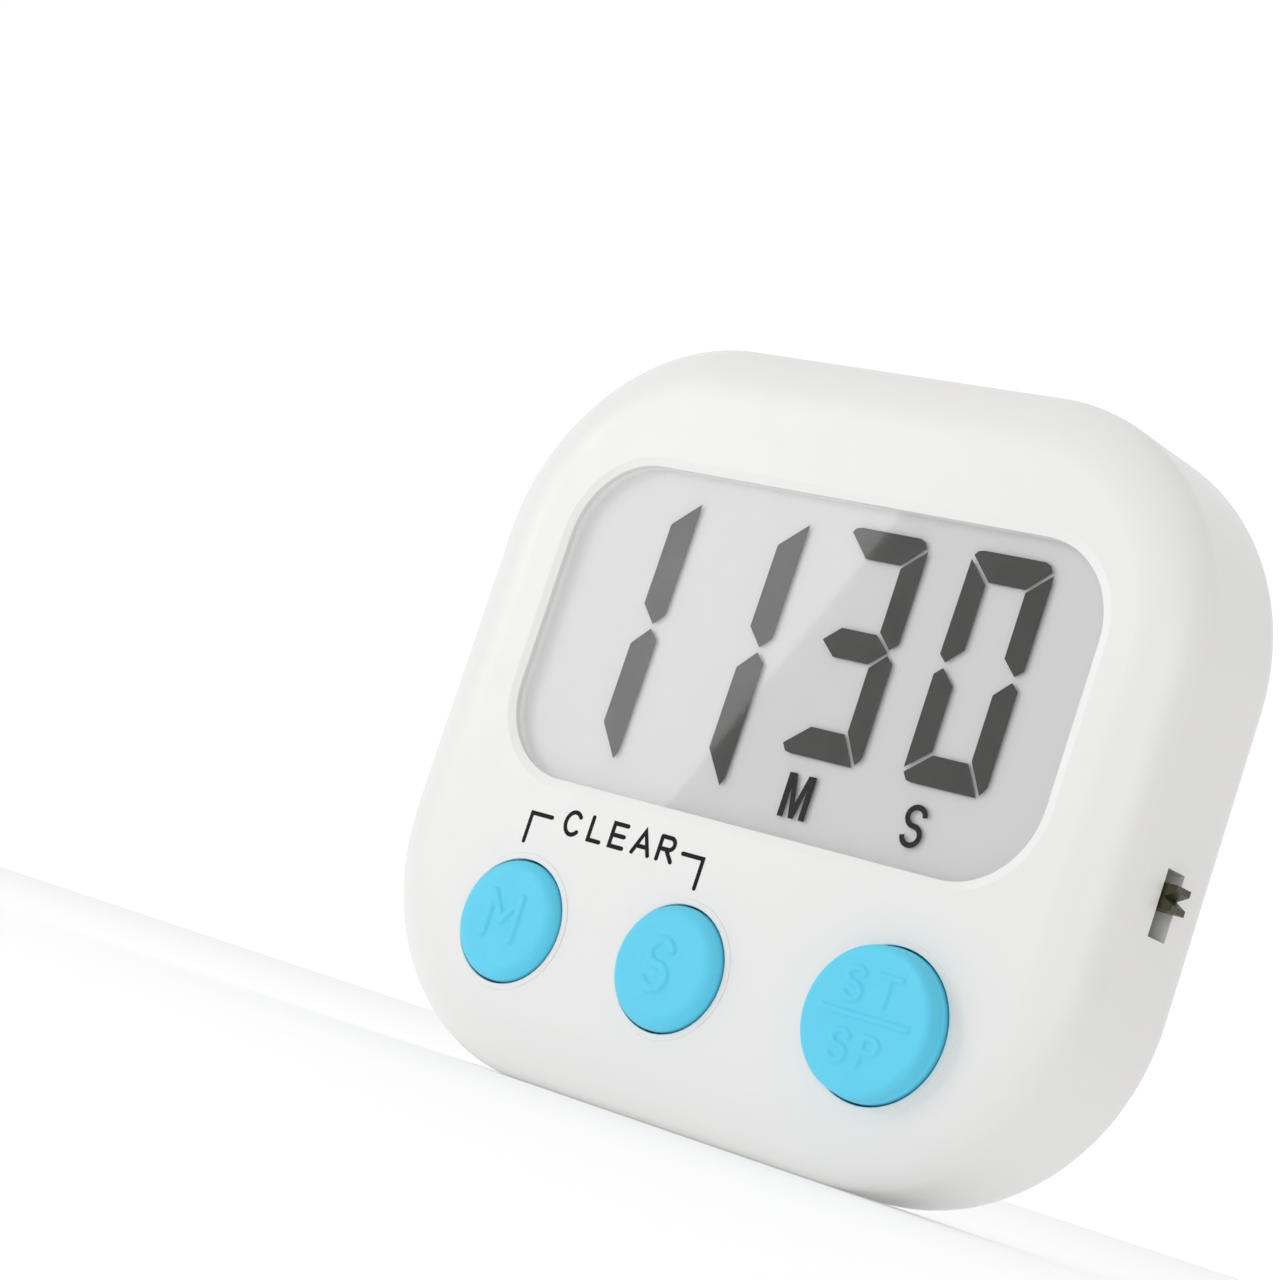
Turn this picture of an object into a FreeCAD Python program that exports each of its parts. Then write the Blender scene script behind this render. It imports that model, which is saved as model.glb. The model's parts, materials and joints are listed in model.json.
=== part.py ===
import FreeCAD, Part
import math
import os

# Digital kitchen timer, upright. Millimetres.
# +Z is up, +X is to the right of a reader, and the display looks along -Y.
# The origin is the centre of the flat bottom side of the case.
# A depth is counted from the front face plane towards the back.
# A rise is a height above the centre of the case.

# ---- case ----
CASE_WIDTH = 65.8
CASE_HEIGHT = 60.0
CASE_DEPTH = 13.3
CORNER_RADIUS = 18.3
FRONT_EDGE_INSET = 4.8
FRONT_EDGE_DROP = 2.8
BACK_EDGE_RADIUS = 2.3
FRONT_WALL = 1.6
SIDE_WALL = 1.8
BACK_WALL = 1.9
INNER_SLOPE = 1.4
SEAM_GAP = 0.15

# ---- window and display ----
WINDOW_WIDTH = 50.2
WINDOW_HEIGHT = 26.0
WINDOW_RADIUS = 6.8
WINDOW_SHIFT = 0.2
WINDOW_RISE = 6.0
WINDOW_RECESS = 0.4
WINDOW_BEVEL = 0.7
WINDOW_BEVEL_DEPTH = 0.15
LENS_THICKNESS = 0.55
LENS_CLEARANCE = 0.04
DISPLAY_GAP = 0.3
CELL_WIDTH = 52.0
CELL_HEIGHT = 27.8
CELL_CLEARANCE = 0.15
CONTACT_LEDGE = 2.4
GLASS_THICKNESS = 0.7
FILM_THICKNESS = 0.2
FRAME_SPREAD = 0.9
FRAME_CLEARANCE = 0.12
FRAME_BORDER = 1.5
STRIP_INSET = 0.25
STRIP_HEIGHT = 1.9

# ---- keys: x, rise, radius and stand-out of each ----
KEYS = {
    "minute": (-17.9, -18.6, 4.8, 0.9),
    "second": (-1.75, -18.6, 4.8, 1.1),
    "start": (17.5, -18.15, 5.7, 2.0),
}
KEY_GAP = 0.15
KEY_COLLAR = 0.9
KEY_COLLAR_THICKNESS = 0.9
KEY_COLLAR_GAP = 0.1
KEY_EDGE = 0.8
LIP_HEIGHT = 0.08
LIP_WIDTH = 0.5
STEM_RADIUS = 1.9
DOME_TOP = 4.4
DOME_CROWN = 0.8
DOME_RADIUS = 2.3
DOME_FOOT_RADIUS = 3.35
DOME_SKIRT = 0.4
PILL_RADIUS = 1.5
PILL_THICKNESS = 0.3
MAT_THICKNESS = 0.6
MAT_OPENING = 3.4
PAD_RADIUS = 2.0
PAD_THICKNESS = 0.05
PAD_SPLIT = 0.3

# ---- circuit board and what it carries ----
BOARD_DEPTH = 6.8
BOARD_THICKNESS = 1.0
BOARD_EDGE_INSET = 2.9
BOARD_TOP = 1.0
CHIP_PLACE = (-4.0, -8.0)
CHIP_HEIGHT = 1.3
CHIP_CURVE = 10.0
CRYSTAL_PLACE = (6.5, -5.0)
CRYSTAL_RADIUS = 1.0
CRYSTAL_LENGTH = 6.0
CRYSTAL_LEG = 1.5
CRYSTAL_LEG_PITCH = 0.8
CHIP_PITCH = 3.0
CHIP_ROW_START = 2.4
CAPACITOR_RISE = -9.0
RESISTOR_RISE = -17.0
CHIP_LENGTH = 1.6
CHIP_WIDTH = 0.8
CHIP_CAP = 0.4
CHIP_CAP_STEP = 0.06
TRANSISTOR_PLACE = (17.45, -6.05)
TRANSISTOR_SIZE = (2.9, 1.3, 1.1)
TRANSISTOR_FEET = ((-0.95, -0.8), (0.95, -0.8), (0.0, 0.8))
COIL_PLACE = (20.5, -11.5)
COIL_RADIUS = 2.2
COIL_HEIGHT = 2.2
COIL_FLANGE = 0.4

# ---- slide switch ----
SLOT_RISE = -4.05
SLOT_LENGTH = 5.0
SLOT_WIDTH = 2.5
SWITCH_RISE = -4.5
SWITCH_DEPTH = 6.85
SWITCH_LENGTH = 8.6
SWITCH_BODY = 3.6
SWITCH_INNER = 27.2
SWITCH_ROOM = 0.2
SHEET = 0.3
PIN_PITCH = 2.5
PIN_LENGTH = 2.0
PIN_WIDTH = 0.6
BASE_THICKNESS = 1.0
KNOB_LENGTH = 1.9
KNOB_WIDTH = 2.0
KNOB_TRAVEL = 2.0
KNOB_REACH = 1.0
KNOB_NOTCH = 0.9
KNOB_NOTCH_HALF = 0.55
SLIDER_SPREAD = 0.7

# ---- battery, its well, its door and its contacts ----
DOOR_RADIUS = 8.5
DOOR_THICKNESS = 1.4
DOOR_RISE = 15.0
DOOR_CLEARANCE = 0.15
DOOR_TURN = 50.0
COIN_SLOT_HALF = 5.0
COIN_SLOT_WIDTH = 1.5
COIN_SLOT_DEPTH = 0.8
LUG_ANGLES = (0, 120, 240)
LUG_SPAN = 24.0
LUG_THICKNESS = 0.3
LUG_REACH = 1.25
SKIRT_DEPTH = 0.8
TRACK_DEPTH = 0.9
TRACK_HEIGHT = 0.45
COIN_CELL_RADIUS = 5.8
COIN_CELL_HEIGHT = 5.4
CELL_DOOR_GAP = 0.3
CELL_FLOOR_GAP = 1.0
WELL_RADIUS = 6.25
WELL_WALL = 0.8
CONTACT_WIDTH = 2.4
CONTACT_SHEET = 0.2
LEAD_SLOT = 1.8
LEAD_RADIUS = 0.4

# ---- buzzer ----
BUZZER_X = -22.0
BUZZER_RISE = -9.0
BUZZER_RADIUS = 7.5
BUZZER_GAP = 1.2
BUZZER_SHEET = 0.2
CERAMIC_RADIUS = 5.0
CERAMIC_THICKNESS = 0.25
SOUND_HOLE_RADIUS = 0.7
SOUND_RING_RADIUS = 3.2
SOUND_RING_HOLES = 6

# ---- magnets ----
MAGNET_RADIUS = 5.0
MAGNET_THICKNESS = 1.8
MAGNET_X = 20.5
MAGNET_RISE = 11.5
POCKET_WALL = 0.9

# ---- fold-out stand ----
STAND_WIDTH = 26.0
STAND_LENGTH = 21.5
STAND_THICKNESS = 1.6
STAND_HINGE_RISE = 3.0
STAND_PIN_RADIUS = 0.8
STAND_PIN_LENGTH = 1.6
STAND_RECESS = 1.8
STAND_CORNER = 4.0
STAND_WINDOW_HEIGHT = 9.0
STAND_SIDE_RAIL = 5.5
STAND_CLEARANCE = 0.3
NAIL_NOTCH_RADIUS = 7.0
NAIL_NOTCH_DROP = 2.6
PIN_CLEARANCE = 0.05

# ---- screws ----
SCREW_RADIUS = 0.8
SCREW_CLEARANCE = 0.15
SCREW_HEAD_RADIUS = 1.6
SCREW_SEAT = 1.1
SCREW_LENGTH = 5.5
BOSS_RADIUS = 2.4
BOARD_BOSS_RADIUS = 1.9
BOARD_SCREW_RADIUS = 0.7
BOARD_SCREW_HEAD = 1.4
CASE_SCREWS = [(-13.0, 24.4), (13.0, 24.4), (-9.7, -24.9), (7.3, -24.9)]
BOARD_SCREWS = [(-27.6, -13.8), (27.6, -13.8), (7.8, -13.2)]

# ---- places worked out from the sizes above ----
FRONT = -CASE_DEPTH / 2
BACK = CASE_DEPTH / 2
MIDDLE = CASE_HEIGHT / 2
INNER_BACK = CASE_DEPTH - BACK_WALL
SEAM_DEPTH = CASE_DEPTH - BACK_EDGE_RADIUS * (1 - math.sqrt(0.5))
LENS_BACK = WINDOW_RECESS + LENS_THICKNESS
CELL_FRONT = LENS_BACK + DISPLAY_GAP
FRONT_GLASS = CELL_FRONT + FILM_THICKNESS
REAR_GLASS = FRONT_GLASS + GLASS_THICKNESS
REFLECTOR = REAR_GLASS + GLASS_THICKNESS
CELL_BACK = REFLECTOR + FILM_THICKNESS
LEDGE_LOW = WINDOW_RISE - CELL_HEIGHT / 2 - CONTACT_LEDGE
BOARD_BACK = BOARD_DEPTH + BOARD_THICKNESS
KEY_COLLAR_DEPTH = FRONT_WALL + KEY_COLLAR_GAP
SWITCH_OUTER = CASE_WIDTH / 2 - SIDE_WALL - SHEET
DOOR_SEAT = CASE_DEPTH - DOOR_THICKNESS
BUTTON_CELL_BACK = DOOR_SEAT - CELL_DOOR_GAP
BUTTON_CELL_FRONT = BUTTON_CELL_BACK - COIN_CELL_HEIGHT
WELL_FLOOR = BUTTON_CELL_FRONT - CELL_FLOOR_GAP
BUZZER_DEPTH = INNER_BACK - BUZZER_GAP
MAGNET_FLOOR = CASE_DEPTH - MAGNET_THICKNESS
STAND_AXIS = CASE_DEPTH - STAND_THICKNESS / 2 - 0.1
STAND_LOW = STAND_HINGE_RISE - STAND_LENGTH
STAND_FLOOR = CASE_DEPTH - STAND_RECESS

# ---- working values ----
FAR = 40.0
BITE = 0.5
ACROSS = FreeCAD.Vector(1, 0, 0)
DEEPER = FreeCAD.Vector(0, 1, 0)
CENTRE = FreeCAD.Vector(0, 0, 0)


def y_at(depth):
    """Y of a plane that lies this deep behind the front face."""
    return FRONT + depth


def point(x, depth, rise):
    """Point at x, at a depth behind the front face, at a rise above the case centre."""
    return FreeCAD.Vector(x, y_at(depth), MIDDLE + rise)


def block(x0, x1, depth0, depth1, rise0, rise1):
    """Box between two values of x, of depth and of rise."""
    return Part.makeBox(x1 - x0, depth1 - depth0, rise1 - rise0, point(x0, depth0, rise0))


def slab(depth0, depth1, rise0=-FAR, rise1=FAR):
    """Box wider than the case, used to cut or to keep a layer of it."""
    return block(-FAR, FAR, depth0, depth1, rise0, rise1)


def disc(x, rise, radius, depth0, depth1):
    """Cylinder along Y, from one depth to another."""
    return Part.makeCylinder(radius, depth1 - depth0, point(x, depth0, rise), DEEPER)


def cone(x, rise, radius0, radius1, depth0, depth1):
    """Cone along Y, with a radius at each depth."""
    return Part.makeCone(radius0, radius1, depth1 - depth0, point(x, depth0, rise), DEEPER)


def rod(x0, x1, depth, rise, radius):
    """Cylinder along X."""
    return Part.makeCylinder(radius, x1 - x0, point(x0, depth, rise), ACROSS)


def tube(x, rise, outer, inner, depth0, depth1):
    """Ring along Y."""
    return disc(x, rise, outer, depth0, depth1).cut(disc(x, rise, inner, depth0 - 1, depth1 + 1))


def depth_edges(shape):
    """Edges of the shape that run along Y."""
    return [e for e in shape.Edges if abs(e.tangentAt(e.FirstParameter).y) > 0.9]


def front_rim(shape, depth):
    """Edges that lie in the plane at this depth, where it is the shape's front."""
    return [e for e in shape.Edges if abs(e.BoundBox.YMax - y_at(depth)) < 0.001]


def back_rim(shape, depth):
    """Edges that lie in the plane at this depth, where it is the shape's back."""
    return [e for e in shape.Edges if abs(e.BoundBox.YMin - y_at(depth)) < 0.001]


def rounded_plate(width, height, radius, depth0, depth1, rise=0.0, x=0.0):
    """Plate with four round corners."""
    plate = block(x - width / 2, x + width / 2, depth0, depth1, rise - height / 2, rise + height / 2)
    return plate.makeFillet(radius, depth_edges(plate))


def joined(shapes):
    """One solid from shapes that touch or overlap."""
    return shapes[0].multiFuse(shapes[1:]).removeSplitter()


def cut_by(shape, tools):
    """The shape with every tool taken away."""
    return shape.cut(Part.makeCompound(tools)).removeSplitter()


def wire_run(points, radius):
    """Round insulated wire through the points, with ball joints at its bends."""
    pieces = []
    for start, end in zip(points, points[1:]):
        along = end - start
        pieces.append(Part.makeCylinder(radius, along.Length, start, along))
    for bend in points[1:-1]:
        pieces.append(Part.makeSphere(radius, bend))
    return joined(pieces)


def sector(x, rise, inner, outer, depth0, depth1, start, span):
    """Part of a ring along Y, over a span of angle, counter-clockwise seen from the front."""
    section = [
        FreeCAD.Vector(inner, 0, 0),
        FreeCAD.Vector(outer, 0, 0),
        FreeCAD.Vector(outer, depth1 - depth0, 0),
        FreeCAD.Vector(inner, depth1 - depth0, 0),
        FreeCAD.Vector(inner, 0, 0),
    ]
    piece = Part.Face(Part.makePolygon(section)).revolve(CENTRE, DEEPER, -span)
    piece.rotate(CENTRE, DEEPER, -start)
    piece.translate(point(x, depth0, rise))
    return piece


# ---------------------------------------------------------------- case

def swept_slab(face, width, height, radius):
    """Carries an edge profile round a rounded rectangle and fills the middle.

    The profile lies in the XY plane, with x from 0 at the corner's axis out to the edge."""
    across = width / 2 - radius
    rise = height / 2 - radius
    span = face.BoundBox
    pieces = [Part.makeBox(2 * across, span.YLength, 2 * rise, FreeCAD.Vector(-across, span.YMin, -rise))]
    quarter = face.revolve(CENTRE, DEEPER, -90)
    corners = [(across, rise), (-across, rise), (-across, -rise), (across, -rise)]
    sides = [(across, rise), (rise, across), (across, rise), (rise, across)]
    for turn in range(4):
        corner = quarter.copy()
        corner.rotate(CENTRE, DEEPER, -90 * turn)
        x, z = corners[turn]
        corner.translate(FreeCAD.Vector(x, 0, z))
        pieces.append(corner)
        out, half = sides[turn]
        side = face.extrude(FreeCAD.Vector(0, 0, 2 * half))
        side.translate(FreeCAD.Vector(out, 0, -half))
        side.rotate(CENTRE, DEEPER, -90 * turn)
        pieces.append(side)
    whole = joined(pieces)
    whole.translate(FreeCAD.Vector(0, 0, MIDDLE))
    return whole


def case_profile():
    """Half section of the case's edge: elliptical at the front, circular at the back."""
    reach = CORNER_RADIUS
    front_centre = FreeCAD.Vector(reach - FRONT_EDGE_INSET, FRONT + FRONT_EDGE_DROP, 0)
    major = front_centre + FreeCAD.Vector(FRONT_EDGE_INSET, 0, 0)
    minor = front_centre + FreeCAD.Vector(0, FRONT_EDGE_DROP, 0)
    ellipse = Part.Ellipse(major, minor, front_centre)
    front_edge = Part.ArcOfEllipse(ellipse, 1.5 * math.pi, 2 * math.pi).toShape()
    back_centre = FreeCAD.Vector(reach - BACK_EDGE_RADIUS, BACK - BACK_EDGE_RADIUS, 0)
    circle = Part.Circle(back_centre, FreeCAD.Vector(0, 0, 1), BACK_EDGE_RADIUS)
    back_edge = Part.ArcOfCircle(circle, 0, math.pi / 2).toShape()
    front_start = FreeCAD.Vector(front_centre.x, FRONT, 0)
    front_end = FreeCAD.Vector(reach, front_centre.y, 0)
    back_start = FreeCAD.Vector(reach, back_centre.y, 0)
    back_end = FreeCAD.Vector(back_centre.x, BACK, 0)
    edges = [
        Part.makeLine(FreeCAD.Vector(0, FRONT, 0), front_start),
        front_edge,
        Part.makeLine(front_end, back_start),
        back_edge,
        Part.makeLine(back_end, FreeCAD.Vector(0, BACK, 0)),
        Part.makeLine(FreeCAD.Vector(0, BACK, 0), FreeCAD.Vector(0, FRONT, 0)),
    ]
    return Part.Face(Part.Wire(Part.__sortEdges__(edges)))


def cavity_profile():
    """Half section of the hollow: straight walls and a sloped inner front corner."""
    reach = CORNER_RADIUS - SIDE_WALL
    corners = [
        FreeCAD.Vector(0, y_at(FRONT_WALL), 0),
        FreeCAD.Vector(reach - INNER_SLOPE, y_at(FRONT_WALL), 0),
        FreeCAD.Vector(reach, y_at(FRONT_WALL + INNER_SLOPE), 0),
        FreeCAD.Vector(reach, y_at(FAR), 0),
        FreeCAD.Vector(0, y_at(FAR), 0),
        FreeCAD.Vector(0, y_at(FRONT_WALL), 0),
    ]
    return Part.Face(Part.makePolygon(corners))


def case_outside():
    """Whole outer form of the case."""
    return swept_slab(case_profile(), CASE_WIDTH, CASE_HEIGHT, CORNER_RADIUS)


def case_hollow():
    """Space inside the front shell's walls."""
    width = CASE_WIDTH - 2 * SIDE_WALL
    height = CASE_HEIGHT - 2 * SIDE_WALL
    return swept_slab(cavity_profile(), width, height, CORNER_RADIUS - SIDE_WALL)


def inner_plate(inset, depth0, depth1):
    """Plate that follows the case outline, this far inside it."""
    width = CASE_WIDTH - 2 * inset
    height = CASE_HEIGHT - 2 * inset
    return rounded_plate(width, height, CORNER_RADIUS - inset, depth0, depth1)


def window_plate(shrink, depth0, depth1):
    """Plate of the window's outline, smaller by this much on every side."""
    width = WINDOW_WIDTH - 2 * shrink
    height = WINDOW_HEIGHT - 2 * shrink
    radius = WINDOW_RADIUS - shrink
    return rounded_plate(width, height, radius, depth0, depth1, WINDOW_RISE, WINDOW_SHIFT)


def plate_outline(plate, depth):
    """Outline of a plate's face at this depth."""
    for face in plate.Faces:
        if face.BoundBox.YLength < 0.001 and abs(face.BoundBox.YMin - y_at(depth)) < 0.001:
            return face.OuterWire


def window_cut():
    """Window opening with a shallow bevel round its front edge."""
    opening = window_plate(0, -1, FRONT_WALL + 1)
    wide = plate_outline(window_plate(-WINDOW_BEVEL, 0, 1), 0)
    narrow = plate_outline(window_plate(0, WINDOW_BEVEL_DEPTH, 1), WINDOW_BEVEL_DEPTH)
    bevel = Part.makeLoft([wide, narrow], True, True)
    return opening.fuse(bevel)


def key_hole_lip(x, rise, radius):
    """Low rounded ring round a key's hole."""
    inner = radius + KEY_GAP
    ring = tube(x, rise, inner + LIP_WIDTH, inner, -LIP_HEIGHT, BITE)
    return ring.makeFillet(LIP_HEIGHT * 0.9, front_rim(ring, -LIP_HEIGHT))


def switch_slot():
    """Opening in the right side wall for the knob."""
    near = SWITCH_DEPTH - SLOT_WIDTH / 2
    low = SLOT_RISE - SLOT_LENGTH / 2
    edge = CASE_WIDTH / 2
    return block(edge - SIDE_WALL - 1, edge + 1, near, near + SLOT_WIDTH, low, low + SLOT_LENGTH)


def front_shell():
    """Front wall and side walls in one moulding, open at the back."""
    shell = case_outside().cut(case_hollow()).cut(slab(SEAM_DEPTH, FAR))
    added = [key_hole_lip(x, rise, radius) for x, rise, radius, _ in KEYS.values()]
    for x, rise in CASE_SCREWS:
        added.append(disc(x, rise, BOSS_RADIUS, FRONT_WALL - BITE, INNER_BACK))
    for x, rise in BOARD_SCREWS:
        added.append(disc(x, rise, BOARD_BOSS_RADIUS, FRONT_WALL - BITE, BOARD_DEPTH))
    shell = shell.multiFuse(added)
    cell_pocket = display_block(CELL_CLEARANCE, CELL_FRONT, FRONT_WALL + 3, CONTACT_LEDGE)
    cuts = [window_cut(), cell_pocket, switch_slot()]
    for x, rise, radius, _ in KEYS.values():
        cuts.append(disc(x, rise, radius + KEY_GAP, -1, FRONT_WALL + 1))
    for x, rise in CASE_SCREWS:
        cuts.append(disc(x, rise, SCREW_RADIUS, FRONT_WALL + 2.4, INNER_BACK + 1))
    for x, rise in BOARD_SCREWS:
        cuts.append(disc(x, rise, BOARD_SCREW_RADIUS, FRONT_WALL + 1.2, BOARD_DEPTH + 1))
    return cut_by(shell, cuts)


def stand_recess():
    """Recess for the folded stand, with a rounded notch for a fingernail under its foot."""
    half = STAND_WIDTH / 2 + STAND_CLEARANCE
    low = STAND_LOW - STAND_CLEARANCE
    high = STAND_HINGE_RISE + STAND_PIN_RADIUS + STAND_CLEARANCE
    recess = block(-half, half, STAND_FLOOR, FAR, low, high)
    notch = disc(0, STAND_LOW, NAIL_NOTCH_RADIUS, STAND_FLOOR, FAR)
    notch_low = STAND_LOW - NAIL_NOTCH_DROP
    return [recess, notch.common(block(-half, half, 0, FAR, notch_low, 0))]


def stand_floor_pad():
    """Thicker wall behind the stand's recess."""
    half = STAND_WIDTH / 2 + STAND_CLEARANCE + 1
    high = STAND_HINGE_RISE + STAND_PIN_RADIUS + STAND_CLEARANCE + 1
    low = STAND_LOW - NAIL_NOTCH_DROP - 1
    return block(-half, half, STAND_FLOOR - 1, INNER_BACK + BITE, low, high)


def hinge_boss(side):
    """Block that holds one hinge pin of the stand."""
    near = STAND_WIDTH / 2 * side
    far = (STAND_WIDTH / 2 + STAND_PIN_LENGTH + 1.2) * side
    low = STAND_HINGE_RISE - 2
    high = STAND_HINGE_RISE + 2
    return block(min(near, far), max(near, far), INNER_BACK - 1, INNER_BACK + BITE, low, high)


def buzzer_seat():
    """Stepped ring on the cover's inner face that the buzzer disc sits in."""
    outer = BUZZER_RADIUS + 0.9
    ledge = tube(BUZZER_X, BUZZER_RISE, outer, BUZZER_RADIUS - 0.8, INNER_BACK - 1, INNER_BACK + BITE)
    wall = tube(BUZZER_X, BUZZER_RISE, outer, BUZZER_RADIUS + 0.05, INNER_BACK - 1.6, INNER_BACK)
    return [ledge, wall]


def sound_holes():
    """One hole over the middle of the buzzer and a ring of them round it."""
    places = [(BUZZER_X, BUZZER_RISE)]
    for step in range(SOUND_RING_HOLES):
        angle = 2 * math.pi * step / SOUND_RING_HOLES
        x = BUZZER_X + SOUND_RING_RADIUS * math.cos(angle)
        places.append((x, BUZZER_RISE + SOUND_RING_RADIUS * math.sin(angle)))
    return [disc(x, rise, SOUND_HOLE_RADIUS, INNER_BACK - BITE, FAR) for x, rise in places]


def bayonet_tracks():
    """Grooves that the door's lugs turn in, and the notches where they drop in."""
    tracks = []
    inner = DOOR_RADIUS - LUG_REACH
    outer = DOOR_RADIUS + 0.05
    groove_start = DOOR_SEAT - TRACK_DEPTH
    for angle in LUG_ANGLES:
        turned = angle - DOOR_TURN
        span = LUG_SPAN + DOOR_TURN + 6
        groove_end = groove_start + TRACK_HEIGHT
        tracks.append(sector(0, DOOR_RISE, inner, outer, groove_start, groove_end, turned - 3, span))
        tracks.append(sector(0, DOOR_RISE, inner, outer, DOOR_SEAT - 0.6, FAR, turned - 1, LUG_SPAN + 2))
    return tracks


def door_opening():
    """Stepped round hole for the battery door, and the well behind it."""
    face = disc(0, DOOR_RISE, DOOR_RADIUS + DOOR_CLEARANCE, DOOR_SEAT, FAR)
    step = disc(0, DOOR_RISE, DOOR_RADIUS - 1.2, DOOR_SEAT - TRACK_DEPTH, FAR)
    well = disc(0, DOOR_RISE, WELL_RADIUS, WELL_FLOOR, FAR)
    return [face, step, well]


def lead_slot(side):
    """Slot in the well's wall for a contact's solder tab."""
    x = side * (WELL_RADIUS + 0.5)
    half = CONTACT_WIDTH / 2 + 0.1
    low = DOOR_RISE - half
    return block(x - LEAD_SLOT / 2, x + LEAD_SLOT / 2, WELL_FLOOR, WELL_FLOOR + 0.8, low, DOOR_RISE + half)


def rear_cover():
    """Back plate with its battery well, magnet pockets, stand recess and sound holes."""
    rim = case_outside().common(slab(SEAM_DEPTH + SEAM_GAP, FAR))
    added = [inner_plate(SIDE_WALL + SEAM_GAP, INNER_BACK, SEAM_DEPTH + BITE)]
    added.append(disc(0, DOOR_RISE, WELL_RADIUS + WELL_WALL, WELL_FLOOR - 0.7, INNER_BACK + BITE))
    added.append(disc(0, DOOR_RISE, DOOR_RADIUS + 1.2, DOOR_SEAT - 1.9, INNER_BACK + BITE))
    added.append(stand_floor_pad())
    added.extend(buzzer_seat())
    cuts = door_opening() + bayonet_tracks() + stand_recess() + sound_holes()
    hinge_x = STAND_WIDTH / 2 + STAND_PIN_LENGTH + 0.1
    cuts.append(rod(-hinge_x, hinge_x, STAND_AXIS, STAND_HINGE_RISE, STAND_PIN_RADIUS + PIN_CLEARANCE))
    for side in (-1, 1):
        x = side * MAGNET_X
        pocket_wall = MAGNET_RADIUS + POCKET_WALL
        added.append(disc(x, MAGNET_RISE, pocket_wall, MAGNET_FLOOR - POCKET_WALL, INNER_BACK + BITE))
        added.append(hinge_boss(side))
        cuts.append(disc(x, MAGNET_RISE, MAGNET_RADIUS + 0.05, MAGNET_FLOOR, FAR))
        cuts.append(lead_slot(side))
    for x, rise in CASE_SCREWS:
        cuts.append(disc(x, rise, SCREW_RADIUS + SCREW_CLEARANCE, INNER_BACK - 1, FAR))
        cuts.append(disc(x, rise, SCREW_HEAD_RADIUS + 0.2, CASE_DEPTH - SCREW_SEAT, FAR))
    return cut_by(rim.multiFuse(added), cuts)


# ---------------------------------------------------------------- display

def display_block(spread, depth0, depth1, ledge):
    """Rectangle of the display cell, wider by spread, reaching down over the contact ledge."""
    half = CELL_WIDTH / 2 + spread
    top = WINDOW_RISE + CELL_HEIGHT / 2 + spread
    bottom = WINDOW_RISE - CELL_HEIGHT / 2 - ledge - spread
    return block(-half, half, depth0, depth1, bottom, top)


def window_lens():
    """Clear plate that fills the window."""
    return window_plate(LENS_CLEARANCE, WINDOW_RECESS, LENS_BACK)


def lcd_polariser():
    """Film on the front of the display cell."""
    return display_block(0, CELL_FRONT, FRONT_GLASS, 0)


def lcd_front_glass():
    """Front glass, which reaches lower to carry the contacts."""
    return display_block(0, FRONT_GLASS, REAR_GLASS, CONTACT_LEDGE)


def lcd_rear_glass():
    """Rear glass of the cell."""
    return display_block(0, REAR_GLASS, REFLECTOR, 0)


def lcd_reflector():
    """Silvered film on the back of the cell."""
    return display_block(0, REFLECTOR, CELL_BACK, 0)


def lcd_frame():
    """Plastic frame that holds the cell against the window and stands on the board."""
    lip_end = CELL_BACK + 1.3
    half = CELL_WIDTH / 2
    opening_half = half - FRAME_BORDER
    opening_top = WINDOW_RISE + CELL_HEIGHT / 2 - FRAME_BORDER
    outer = display_block(FRAME_SPREAD, FRONT_WALL + 0.2, lip_end, CONTACT_LEDGE)
    outer = outer.makeChamfer(FRAME_SPREAD + 0.1, depth_edges(outer))
    inner = display_block(FRAME_CLEARANCE, 0, CELL_BACK + 0.1, CONTACT_LEDGE)
    opening = block(-opening_half, opening_half, 0, FAR, LEDGE_LOW + 3.8, opening_top)
    strip_top = LEDGE_LOW + STRIP_INSET + STRIP_HEIGHT + STRIP_INSET
    strip_room = block(-opening_half, opening_half, 0, FAR, LEDGE_LOW - FRAME_CLEARANCE, strip_top)
    foot = half + FRAME_SPREAD
    legs = block(-foot, foot, lip_end - BITE, BOARD_DEPTH, LEDGE_LOW - FRAME_SPREAD, BOARD_TOP - 1)
    legs = legs.cut(block(-half, half, 0, FAR, LEDGE_LOW, FAR))
    frame = joined([outer.cut(Part.makeCompound([inner, opening, strip_room])), legs])
    cuts = [switch_room(SWITCH_INNER - PIN_LENGTH - 0.6)]
    for x, rise, radius, _ in KEYS.values():
        cuts.append(disc(x, rise, radius + KEY_COLLAR + 0.3, 0, FAR))
    return cut_by(frame, cuts)


def zebra_strip():
    """Rubber strip of carbon layers that joins the glass contacts to the board."""
    half = CELL_WIDTH / 2 - 2
    low = LEDGE_LOW + STRIP_INSET
    return block(-half, half, REAR_GLASS, BOARD_DEPTH, low, low + STRIP_HEIGHT)


# ---------------------------------------------------------------- board

def circuit_board():
    """Board behind the keys and the lower half of the display."""
    board = inner_plate(BOARD_EDGE_INSET, BOARD_DEPTH, BOARD_BACK).common(slab(0, FAR, -FAR, BOARD_TOP))
    cuts = [switch_room(SWITCH_INNER - BASE_THICKNESS - 0.1)]
    for x, rise in CASE_SCREWS:
        cuts.append(disc(x, rise, BOSS_RADIUS + 0.3, 0, FAR))
    for x, rise in BOARD_SCREWS:
        cuts.append(disc(x, rise, SCREW_RADIUS + SCREW_CLEARANCE, 0, FAR))
    return board.cut(Part.makeCompound(cuts))


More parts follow.
